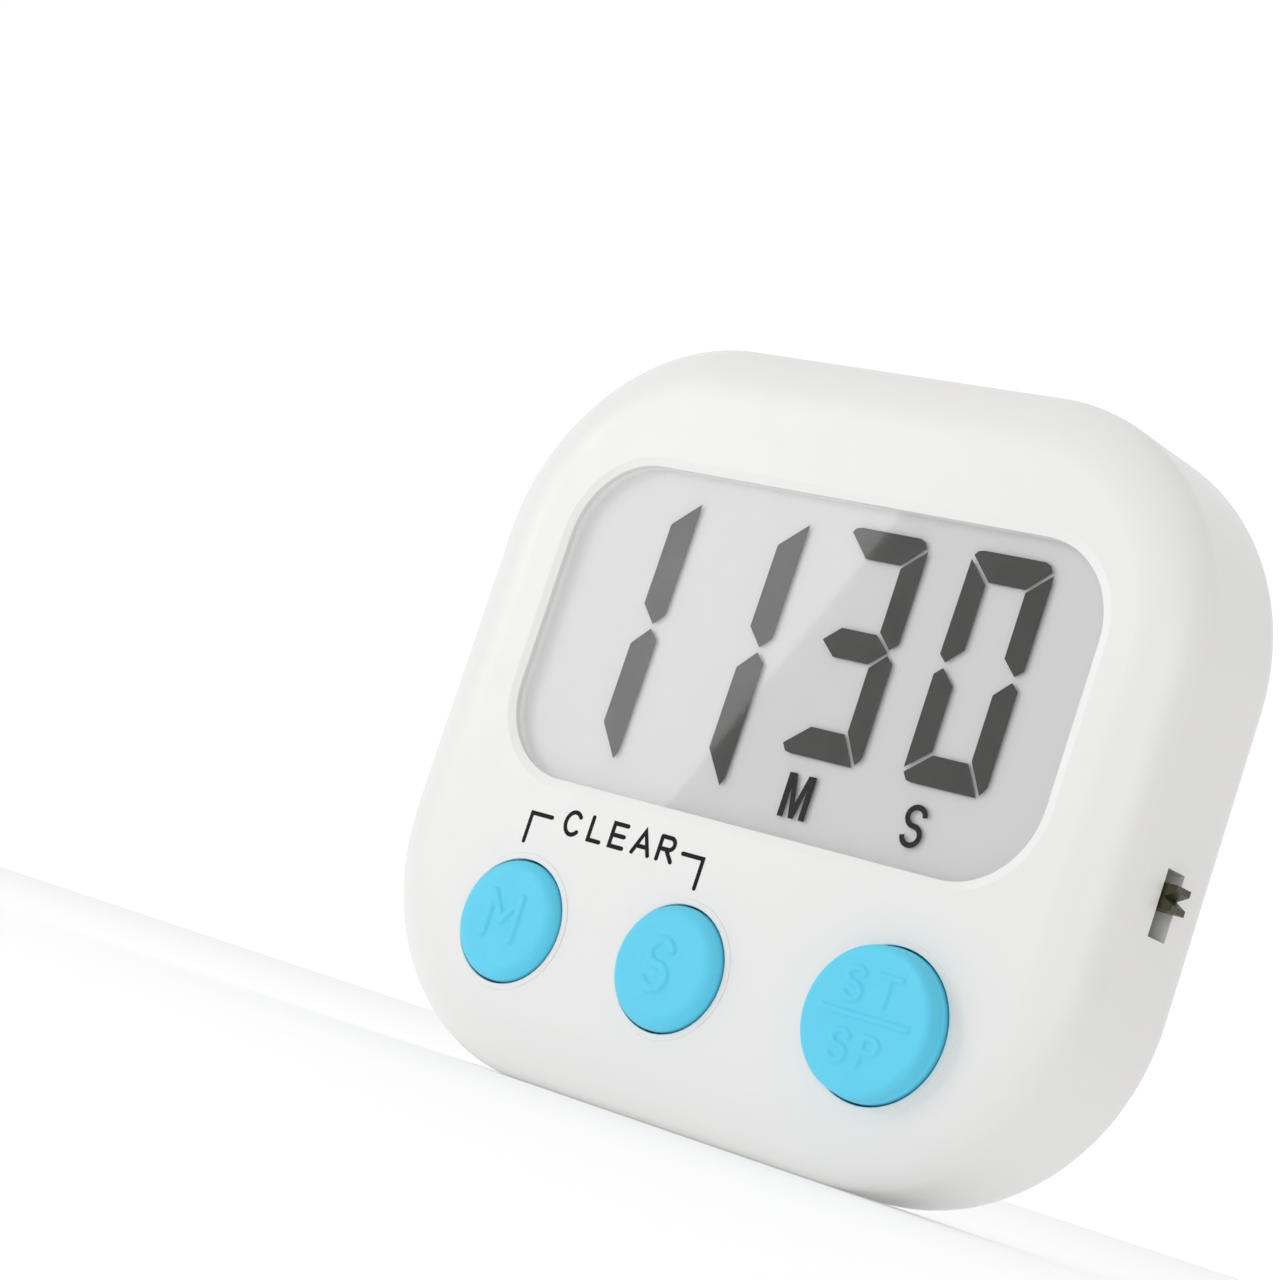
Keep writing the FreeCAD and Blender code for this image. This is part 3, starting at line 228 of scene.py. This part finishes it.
FINISHES = {
    "case_plastic": case_white,
    "key_plastic": key_blue,
    "clear_plastic": window_clear,
    "display_film": lcd_face,
    "display_glass": cell_glass,
    "reflector_film": metal("reflector", (0.75, 0.75, 0.75), 0.35, (1, 1, 30)),
    "frame_plastic": moulded("frame_white", (0.62, 0.62, 0.58), 0.5, 4000, 0.00001),
    "strip_rubber": striped("zebra_rubber", (0.05, 0.05, 0.05), (0.55, 0.38, 0.36), 0.0012),
    "mat_rubber": moulded("grey_silicone", (0.34, 0.35, 0.36), 0.62, 3000, 0.00001, 0.05),
    "carbon_rubber": moulded("carbon", (0.012, 0.012, 0.012), 0.7, 5000, 0.00001, 0.2),
    "board_laminate": laminate("board_green", (0.010, 0.085, 0.025), (0.04, 0.20, 0.06)),
    "chip_resin": moulded("chip_resin", (0.006, 0.006, 0.006), 0.18, 900, 0.00002, 0.2),
    "black_moulding": moulded("black_epoxy", (0.012, 0.012, 0.012), 0.55, 6000, 0.00001, 0.2),
    "chip_ceramic": moulded("tan_ceramic", (0.35, 0.22, 0.10), 0.4, 4000, 0.000008, 0.08),
    "resistor_ceramic": moulded("dark_ceramic", (0.02, 0.02, 0.022), 0.35, 4000, 0.000008, 0.2),
    "coil_ferrite": moulded("ferrite", (0.025, 0.025, 0.028), 0.5, 3500, 0.00002, 0.2),
    "plated_gold": metal("gold_plate", (0.90, 0.62, 0.22), 0.25, (1, 1, 20)),
    "sheet_steel": metal("nickel_steel", (0.58, 0.57, 0.54), 0.28, (1, 1, 25)),
    "screw_steel": metal("zinc_steel", (0.52, 0.52, 0.53), 0.34, (1, 1, 1)),
    "phenolic": moulded("phenolic", (0.11, 0.05, 0.02), 0.5, 3000, 0.00001, 0.15),
    "knob_plastic": moulded("knob_olive", (0.040, 0.038, 0.012), 0.42, 5000, 0.000012, 0.15),
    "disc_brass": metal("brass_disc", (0.80, 0.56, 0.20), 0.28, (30, 1, 1)),
    "disc_ceramic": moulded("silvered_ceramic", (0.60, 0.58, 0.52), 0.4, 3500, 0.00001, 0.05),
    "wire_red": moulded("wire_red", (0.45, 0.015, 0.01), 0.4, 3000, 0.00001, 0.08),
    "wire_black": moulded("wire_black", (0.01, 0.01, 0.01), 0.4, 3000, 0.00001, 0.2),
    "cell_steel": metal("cell_can", (0.66, 0.65, 0.62), 0.2, (1, 40, 1)),
    "magnet_nickel": metal("magnet_nickel", (0.62, 0.60, 0.56), 0.24, (1, 1, 1), 1800),
}


def paint(obj, material):
    """Gives the object this one material."""
    obj.data.materials.clear()
    obj.data.materials.append(material)


for part in frame["record"]["subparts"]:
    paint(NODES[part["node"]], FINISHES[part["material_slot"]])


# ---------------------------------------------------------------- mesh helpers

def mesh_object(name, verts, faces, material, smooth=False):
    """Object from vertices and faces, in the row frame."""
    mesh = bpy.data.meshes.new(name)
    mesh.from_pydata(verts, [], faces)
    mesh.update()
    obj = bpy.data.objects.new(name, mesh)
    SCENE.collection.objects.link(obj)
    for face in mesh.polygons:
        face.use_smooth = smooth
    obj.data.materials.append(material)
    return obj


INK_STEP = 0.0012 * MM


def on_face(x, rise):
    """X and Z, in metres, of a place in millimetres from the middle of the case."""
    return x * MM, CASE_MIDDLE + rise * MM


def plate(name, outlines, near, far, material):
    """Flat plates of the outlines between two values of Y, each a hair higher than the last."""
    verts = []
    faces = []
    for order, outline in enumerate(outlines):
        start = len(verts)
        count = len(outline)
        for y in (near - order * INK_STEP, far):
            for x, rise in outline:
                across, up = on_face(x, rise)
                verts.append((across, y, up))
        faces.append([start + i for i in range(count)])
        faces.append([start + count + i for i in reversed(range(count))])
        for i in range(count):
            after = (i + 1) % count
            faces.append([start + after, start + i, start + count + i, start + count + after])
    obj = mesh_object(name, verts, faces, material)
    bm = bmesh.new()
    bm.from_mesh(obj.data)
    bmesh.ops.recalc_face_normals(bm, faces=bm.faces)
    bm.to_mesh(obj.data)
    bm.free()
    return obj


# ---------------------------------------------------------------- display

# Sizes in millimetres. A place is x from the middle of the case and rise above its centre.
DIGIT_TOP = 17.3
DIGIT_BOTTOM = -0.6
DIGIT_WIDTH = 7.42
UPRIGHT = 1.93
BAR = 2.3
SEGMENT_GAP = 0.22
CORNER = 1.0
POINT_INSET = 0.65
POINT_LENGTH = 0.55
SHOULDER = 1.4
THREE_LEFT = 0.88
ZERO_LEFT = 12.1
TALL_TOP = 16.75
TALL_BOTTOM = -4.25
TALL_WIDTH = 2.33
TALL_ONES = (-16.12, -5.42)
TALL_WAIST = 6.5
TALL_LEAN = 0.012
TALL_NOTCH = 0.63
TALL_HEAD_SLOPE = 2.0
TALL_FOOT_SLOPE = 2.6
TALL_FOOT_CUT = (0.25, 0.6)
WAIST_LEFT = 1.65
WAIST_MIDDLE = 0.2
WAIST_RIGHT_ABOVE = 1.1
WAIST_RIGHT_BELOW = 1.0
SEGMENT_DEPTH = 0.02 * MM
SEGMENT_NEAR = LENS_HIGH.y + 0.03 * MM
SEGMENT_FAR = SEGMENT_NEAR + SEGMENT_DEPTH


def digit_segments(left, letters):
    """Outlines of the lit segments of a seven-segment digit."""
    right = left + DIGIT_WIDTH
    middle = (DIGIT_TOP + DIGIT_BOTTOM) / 2
    gap = SEGMENT_GAP
    inner_left = left + UPRIGHT
    inner_right = right - UPRIGHT
    bar_top = DIGIT_TOP - BAR
    bar_bottom = DIGIT_BOTTOM + BAR
    half_bar = BAR / 2
    shapes = {
        "a": [
            (left + gap, DIGIT_TOP - 2 * gap), (left + CORNER / 2, DIGIT_TOP - gap / 2),
            (left + CORNER, DIGIT_TOP), (right - CORNER, DIGIT_TOP),
            (right - CORNER / 2, DIGIT_TOP - gap), (right - gap, DIGIT_TOP - 3 * gap),
            (inner_right - gap / 2, bar_top), (inner_left + gap, bar_top),
        ],
        "b": [
            (right, DIGIT_TOP - 4 * gap), (inner_right, bar_top - gap),
            (inner_right, middle + SHOULDER),
            (right - POINT_INSET, middle + gap), (right, middle + POINT_LENGTH + gap),
        ],
        "c": [
            (right - POINT_INSET, middle - gap), (right, middle - POINT_LENGTH - gap),
            (right, DIGIT_BOTTOM + CORNER), (right - gap, DIGIT_BOTTOM + CORNER / 2),
            (right - 2 * gap, DIGIT_BOTTOM + gap), (inner_right, bar_bottom + gap),
            (inner_right, middle - SHOULDER),
        ],
        "d": [
            (left + gap / 2, DIGIT_BOTTOM + 3 * gap), (inner_left + gap, bar_bottom),
            (inner_right - gap, bar_bottom), (right - 3 * gap, DIGIT_BOTTOM),
            (left + CORNER, DIGIT_BOTTOM), (left + CORNER / 2, DIGIT_BOTTOM + gap / 2),
        ],
        "e": [
            (left + POINT_INSET, middle - gap), (inner_left, middle - SHOULDER),
            (inner_left, bar_bottom + gap),
            (left, DIGIT_BOTTOM + CORNER), (left, middle - POINT_LENGTH - gap),
        ],
        "f": [
            (left + gap / 2, DIGIT_TOP - 3.5 * gap), (inner_left, bar_top - gap),
            (inner_left, middle + SHOULDER),
            (left + POINT_INSET, middle + gap), (left, middle + POINT_LENGTH + gap),
        ],
        "g": [
            (left + POINT_INSET, middle), (inner_left + gap / 2, middle + half_bar),
            (inner_right - gap, middle + half_bar), (right - POINT_INSET - gap / 2, middle),
            (inner_right - gap, middle - half_bar), (inner_left + gap / 2, middle - half_bar),
        ],
    }
    return [shapes[letter] for letter in letters]


def tall_one(left):
    """Outlines of the two segments of a tall figure one, which leans a little."""
    right = left + TALL_WIDTH
    notch = left + TALL_WIDTH * TALL_NOTCH
    cut_in, cut_up = TALL_FOOT_CUT
    upper = [
        (left, TALL_TOP - TALL_HEAD_SLOPE), (right, TALL_TOP), (right, TALL_WAIST + WAIST_RIGHT_ABOVE),
        (notch, TALL_WAIST + WAIST_MIDDLE), (left, TALL_WAIST + WAIST_LEFT),
    ]
    lower = [
        (left, TALL_WAIST - WAIST_LEFT), (notch, TALL_WAIST - WAIST_MIDDLE),
        (right, TALL_WAIST - WAIST_RIGHT_BELOW), (right, TALL_BOTTOM + cut_up),
        (right - cut_in, TALL_BOTTOM), (left, TALL_BOTTOM + TALL_FOOT_SLOPE),
    ]
    leaning = []
    for part in (upper, lower):
        leaning.append([(x + TALL_LEAN * (rise - TALL_WAIST), rise) for x, rise in part])
    return leaning


figures = {
    "figure_1": tall_one(TALL_ONES[0]),
    "figure_2": tall_one(TALL_ONES[1]),
    "figure_3": digit_segments(THREE_LEFT, "abcdg"),
    "figure_4": digit_segments(ZERO_LEFT, "abcdef"),
}
for name, outlines in figures.items():
    figure = plate(name, outlines, SEGMENT_NEAR, SEGMENT_FAR, segment_dark)
    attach(figure, "case")


# ---------------------------------------------------------------- letters as strokes

def arc(centre_x, centre_rise, radius_x, radius_rise, start, end, steps=14):
    """Points along part of an ellipse, angles in degrees."""
    points = []
    for step in range(steps + 1):
        angle = math.radians(start + (end - start) * step / steps)
        x = centre_x + radius_x * math.cos(angle)
        points.append((x, centre_rise + radius_rise * math.sin(angle)))
    return points


def letter_a(x, rise, width, height):
    """Centre lines of an A."""
    low = rise - height / 2
    bar = rise - height * 0.18
    sides = [(x - width / 2, low), (x, rise + height / 2), (x + width / 2, low)]
    return [sides, [(x - width * 0.32, bar), (x + width * 0.32, bar)]]


def letter_c(x, rise, width, height):
    """Centre line of a C."""
    return [arc(x, rise, width / 2, height / 2, 42, 318, 20)]


def letter_e(x, rise, width, height):
    """Centre lines of an E."""
    left, right = x - width / 2, x + width / 2
    low, high = rise - height / 2, rise + height / 2
    outside = [(right, high), (left, high), (left, low), (right, low)]
    return [outside, [(left, rise), (right - width * 0.08, rise)]]


def letter_l(x, rise, width, height):
    """Centre line of an L."""
    left, low = x - width / 2, rise - height / 2
    return [[(left, rise + height / 2), (left, low), (x + width / 2, low)]]


def letter_m(x, rise, width, height, dip):
    """Centre line of an M whose middle comes down by this share of the height."""
    left, right = x - width / 2, x + width / 2
    low, high = rise - height / 2, rise + height / 2
    return [[(left, low), (left, high), (x, high - height * dip), (right, high), (right, low)]]


def block_m(x, rise, width, height, stem):
    """Outline of a bold upright M with square ends and a centre that reaches its foot."""
    left, right = x - width / 2, x + width / 2
    low, high = rise - height / 2, rise + height / 2
    shoulder = stem * 1.35
    foot = stem * 0.42
    dip = low + height * 0.33
    crotch = high - height * 0.3
    return [
        (left, low), (left, high), (left + shoulder, high), (x, dip),
        (right - shoulder, high), (right, high),
        (right, low), (right - stem, low), (right - stem, crotch), (x + foot, low), (x - foot, low),
        (left + stem, crotch), (left + stem, low),
    ]


def letter_p(x, rise, width, height):
    """Centre lines of a P."""
    left, right = x - width / 2, x + width / 2
    high = rise + height / 2
    bow = height * 0.26
    loop = arc(right - bow, high - bow, bow, bow, 90, -90, 10)
    stem = [(left, rise - height / 2), (left, high)]
    return [stem, [(left, high)] + loop + [(left, high - 2 * bow)]]


def letter_r(x, rise, width, height):
    """Centre lines of an R."""
    bow = height * 0.26
    knee = (x, rise + height / 2 - 2 * bow)
    return letter_p(x, rise, width * 0.92, height) + [[knee, (x + width / 2, rise - height / 2)]]


def letter_s(x, rise, width, height, open_by=25):
    """Centre line of an S whose ends stop this many degrees short of a half turn."""
    bow = height / 4
    upper = arc(x, rise + bow, width / 2, bow, open_by, 270)
    lower = arc(x, rise - bow, width / 2, bow, 90, open_by - 180)
    return [upper + lower[1:]]


def letter_t(x, rise, width, height):
    """Centre lines of a T."""
    high = rise + height / 2
    return [[(x - width / 2, high), (x + width / 2, high)], [(x, high), (x, rise - height / 2)]]


def stroke_outline(line, width, round_ends):
    """Outline of a pen stroke of this width along a centre line."""
    points = [Vector(p) for p in line]
    runs = [(b - a).normalized() for a, b in zip(points, points[1:])]
    half = width / 2
    left_side = []
    right_side = []
    for index, place in enumerate(points):
        before = runs[max(index - 1, 0)]
        after = runs[min(index, len(runs) - 1)]
        middle = (before + after).normalized()
        across = Vector((-middle.y, middle.x))
        reach = half / max(across.dot(Vector((-after.y, after.x))), 0.45)
        left_side.append(place + across * reach)
        right_side.append(place - across * reach)
    start_cap = []
    end_cap = []
    if round_ends:
        for step in range(1, 8):
            turn = math.pi * step / 8
            end_side = Vector((-runs[-1].y, runs[-1].x))
            start_side = Vector((-runs[0].y, runs[0].x))
            end_reach = end_side * math.cos(turn) + runs[-1] * math.sin(turn)
            start_reach = start_side * math.cos(turn) + runs[0] * math.sin(turn)
            end_cap.append(points[-1] + half * end_reach)
            start_cap.append(points[0] - half * start_reach)
    outline = left_side + end_cap + right_side[::-1] + start_cap
    return [tuple(p) for p in outline]


def lettering(name, lines, width, near, far, material, round_ends=True):
    """Thin plates of ink along the letters' centre lines."""
    outlines = [stroke_outline(line, width, round_ends) for line in lines]
    ink = plate(name, outlines, near, far, material)
    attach(ink, "case")


# ---------------------------------------------------------------- printed marks

UNIT_RISE = -3.65
unit_s = letter_s(14.5, UNIT_RISE, 1.5, 2.85, 4)
unit_m_outline = block_m(3.76, UNIT_RISE, 2.52, 3.42, 0.53)
unit_m = plate("unit_m", [unit_m_outline], SEGMENT_NEAR, SEGMENT_FAR, print_black)
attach(unit_m, "case")
lettering("unit_s", unit_s, 0.42, SEGMENT_NEAR, SEGMENT_FAR, print_black, False)

INK_DEPTH = 0.02 * MM
INK_NEAR = FACE - INK_DEPTH
INK_FAR = FACE + INK_DEPTH
INK_WIDTH = 0.34
WORD_RISE = -10.05
WORD_HEIGHT = 1.78
word_clear = letter_c(-15.05, WORD_RISE, 1.5, WORD_HEIGHT)
word_clear += letter_l(-12.65, WORD_RISE, 1.15, WORD_HEIGHT)
word_clear += letter_e(-10.4, WORD_RISE, 1.3, WORD_HEIGHT)
word_clear += letter_a(-7.95, WORD_RISE, 1.6, WORD_HEIGHT)
word_clear += letter_r(-5.6, WORD_RISE, 1.45, WORD_HEIGHT)
lettering("mark_clear", word_clear, INK_WIDTH, INK_NEAR, INK_FAR, print_black)

left_bracket = [(-17.25, WORD_RISE), (-19.3, WORD_RISE), (-19.3, WORD_RISE - 2.3)]
right_bracket = [(-3.95, WORD_RISE), (-1.95, WORD_RISE), (-1.95, WORD_RISE - 2.3)]
brackets = [left_bracket, right_bracket]
lettering("mark_brackets", brackets, INK_WIDTH, INK_NEAR, INK_FAR, print_black)


# ---------------------------------------------------------------- keys

# Legend strokes: width, height and the width of their sloping sides.
STROKE = 0.66
SMALL_STROKE = 0.44
RELIEF = 0.16
SOFTNESS = 0.13

# How far a key's collar stands out and starts behind the face, its thickness and the stem's radius.
COLLAR_REACH = 0.9
COLLAR_DEPTH = 1.7
COLLAR_THICKNESS = 0.9
STEM_RADIUS = 1.9
SEAT_STEP = 0.02
STEP_PLACE = 0.42
CAP_EDGE_STEPS = 8
KEY_TURNS = 224
RING_SPACING = 0.075
KEY_CREASE = 38


def to_strokes(lines, point):
    """Distance from a point to the nearest centre line."""
    best = 1e9
    px, pz = point
    for line in lines:
        for (ax, az), (bx, bz) in zip(line, line[1:]):
            dx, dz = bx - ax, bz - az
            along = ((px - ax) * dx + (pz - az) * dz) / max(dx * dx + dz * dz, 1e-9)
            along = min(1.0, max(0.0, along))
            best = min(best, math.hypot(px - ax - along * dx, pz - az - along * dz))
    return best


def relief(lines, point, stroke):
    """Height of the raised legend at a point: a rounded bead along each stroke."""
    edge = (to_strokes(lines, point) - stroke / 2) / SOFTNESS
    step = min(1.0, max(0.0, 0.5 - edge / 2))
    return RELIEF * step * step * (3 - 2 * step)


def key_profile(radius, top, back, collar_radius, edge, step):
    """Outline of a key from the edge of its flat top round to the stem's end: (radius, depth)."""
    collar_front = FACE / MM + COLLAR_DEPTH
    collar_back = collar_front + COLLAR_THICKNESS
    rim = radius - step - edge
    points = []
    for k in range(CAP_EDGE_STEPS + 1):
        angle = math.radians(90 - 90 * k / CAP_EDGE_STEPS)
        points.append((rim + edge * math.cos(angle), top + edge - edge * math.sin(angle)))
    if step:
        shoulder = top + (collar_front - top) * STEP_PLACE
        points.append((radius - step, shoulder - step))
        points.append((radius - step * 0.6, shoulder - step * 0.15))
        points.append((radius - step * 0.1, shoulder + step * 0.15))
        points.append((radius, shoulder + step))
    points.append((radius, collar_front - SEAT_STEP))
    points.append((radius, collar_front))
    points.append((collar_radius, collar_front))
    points.append((collar_radius, collar_back))
    points.append((STEM_RADIUS, collar_back))
    points.append((STEM_RADIUS, back))
    return points


def build_key(name, lines, stroke, edge, step):
    """Key with a legend in low relief. Its outline is read from the CAD key."""
    low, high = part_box(name + "_key")
    centre_x, centre_z = (low.x + high.x) / 2, (low.z + high.z) / 2
    collar_radius = (high.x - low.x) / 2 / MM
    top = low.y / MM
    back = high.y / MM
    outline = key_profile(collar_radius - COLLAR_REACH, top, back, collar_radius, edge, step)
    turns = KEY_TURNS
    flat = outline[0][0]
    rings = int(flat / RING_SPACING)
    verts = [(0, top - relief(lines, (0, 0), stroke), 0)]
    for ring in range(1, rings + 1):
        reach = flat * ring / rings
        for turn in range(turns):
            angle = 2 * math.pi * turn / turns
            x, z = reach * math.cos(angle), reach * math.sin(angle)
            verts.append((x, top - relief(lines, (x, z), stroke), z))
    for reach, depth in outline[1:]:
        for turn in range(turns):
            angle = 2 * math.pi * turn / turns
            verts.append((reach * math.cos(angle), depth, reach * math.sin(angle)))
    verts.append((0, back, 0))
    all_rings = rings + len(outline) - 1
    faces = []
    for turn in range(turns):
        after = (turn + 1) % turns
        faces.append([0, 1 + turn, 1 + after])
        for ring in range(all_rings - 1):
            first = 1 + ring * turns
            second = first + turns
            faces.append([first + turn, second + turn, second + after, first + after])
        last = 1 + (all_rings - 1) * turns
        faces.append([last + turn, len(verts) - 1, last + after])
    placed = [(centre_x + x * MM, y * MM, centre_z + z * MM) for x, y, z in verts]
    key = mesh_object(name + "_key_cap", placed, faces, key_blue, smooth=True)
    key.data.set_sharp_from_angle(angle=math.radians(KEY_CREASE))
    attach(key, name + "_key_body")
    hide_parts(name + "_key")


# A letter is given by its x and rise from the key's centre, its width and its height.
build_key("minute", letter_m(-0.25, 0.15, 2.85, 3.3, 0.6), STROKE, 1.0, 0)
build_key("second", letter_s(-0.4, 0.0, 2.05, 3.7), STROKE, 1.05, 0)
start_legend = letter_s(-1.65, 2.3, 1.4, 2.3) + letter_t(1.25, 2.3, 1.85, 2.1)
start_legend += [[(-3.8, 0.15), (3.8, 0.15)]]
start_legend += letter_s(-1.4, -2.2, 1.4, 2.2) + letter_p(1.2, -2.2, 1.3, 2.0)
build_key("start", start_legend, SMALL_STROKE, 0.55, 0.16)


# ---------------------------------------------------------------- stage, light and camera

FLOOR_REACH = 6.0
FLOOR_WHITE = (0.93, 0.93, 0.93)
FLOOR_GLOW = 0.16


def stage_floor():
    """Wide pale floor, lit faintly from below like a light table."""
    floor_pale = moulded("floor_pale", FLOOR_WHITE, 0.7, 60, 0.00002, 0.004)
    shader = floor_pale.node_tree.nodes["Principled BSDF"]
    shader.inputs["Emission Color"].default_value = (1, 1, 1, 1)
    shader.inputs["Emission Strength"].default_value = FLOOR_GLOW
    ends = (-FLOOR_REACH, FLOOR_REACH)
    corners = [(x, y, 0) for y in ends for x in ends]
    floor = mesh_object("floor", corners, [[0, 1, 3, 2]], floor_pale)


stage_floor()


def softbox(name, place, aim, roll, width, height, radiance):
    """Soft rectangular lamp facing a point."""
    data = bpy.data.lights.new(name, "AREA")
    data.shape = "RECTANGLE"
    data.size = width
    data.size_y = height
    data.energy = radiance * math.pi * width * height
    lamp = bpy.data.objects.new(name, data)
    SCENE.collection.objects.link(lamp)
    lamp.location = place
    lamp.rotation_mode = "QUATERNION"
    facing = (Vector(aim) - Vector(place)).to_track_quat("-Z", "Y")
    lamp.rotation_quaternion = facing @ Quaternion((0, 0, 1), math.radians(roll))


# The key light's edge is mirrored as the slanting line across the window.
KEY_LIGHT = {
    "place": (-0.435, -0.407, 0.151), "aim": (0.026, 0.198, 0.052),
    "roll": -20.7, "width": 0.22, "height": 0.24, "radiance": 3.2,
}
FILL_LIGHT = {
    "place": (0.18, -0.45, 0.04), "aim": (0.0, 0.0, 0.02),
    "roll": 0, "width": 0.3, "height": 0.3, "radiance": 1.5,
}
TOP_LIGHT = {
    "place": (0.0, -0.1, 1.6), "aim": (0.0, 0.0, 0.0),
    "roll": 0, "width": 1.6, "height": 1.6, "radiance": 0.2,
}
softbox("key_light", **KEY_LIGHT)
softbox("fill_light", **FILL_LIGHT)
softbox("top_light", **TOP_LIGHT)


def studio_world(bright_side, dim, bright):
    """White surroundings that are brightest on one side."""
    world = bpy.data.worlds.new("studio")
    world.use_nodes = True
    tree = world.node_tree
    coords = tree.nodes.new("ShaderNodeTexCoord")
    towards = tree.nodes.new("ShaderNodeVectorMath")
    towards.operation = "DOT_PRODUCT"
    towards.inputs[1].default_value = Vector(bright_side).normalized()
    strength = tree.nodes.new("ShaderNodeMapRange")
    strength.inputs["From Min"].default_value = -1
    strength.inputs["From Max"].default_value = 1
    strength.inputs["To Min"].default_value = dim
    strength.inputs["To Max"].default_value = bright
    background = tree.nodes["Background"]
    background.inputs["Color"].default_value = (1, 1, 1, 1)
    tree.links.new(coords.outputs["Generated"], towards.inputs[0])
    tree.links.new(towards.outputs["Value"], strength.inputs["Value"])
    tree.links.new(strength.outputs["Result"], background.inputs["Strength"])
    SCENE.world = world


BRIGHT_SIDE = (-0.63, 0.77, 0.1)
WORLD_DIM = 0.44
WORLD_BRIGHT = 1.04
studio_world(BRIGHT_SIDE, WORLD_DIM, WORLD_BRIGHT)

# Turn to the left of +Y, tilt up and roll in degrees; lens in millimetres.
CAMERA_PLACE = (0.1543, -0.2100, 0.00305)
LOOK_LEFT = 39.70
LOOK_UP = 6.91
ROLL = 18.40
LENS = 96.5

camera_data = bpy.data.cameras.new("camera")
camera_data.lens = LENS
camera_data.sensor_width = 36
camera_data.clip_start = 0.001
camera = bpy.data.objects.new("camera", camera_data)
SCENE.collection.objects.link(camera)
SCENE.camera = camera
camera.location = CAMERA_PLACE
left, up = math.radians(LOOK_LEFT), math.radians(LOOK_UP)
ahead = Vector((-math.sin(left) * math.cos(up), math.cos(left) * math.cos(up), math.sin(up)))
camera.rotation_mode = "QUATERNION"
level = ahead.to_track_quat("-Z", "Y")
camera.rotation_quaternion = level @ Quaternion((0, 0, 1), math.radians(ROLL))
SCENE.view_settings.view_transform = "Standard"
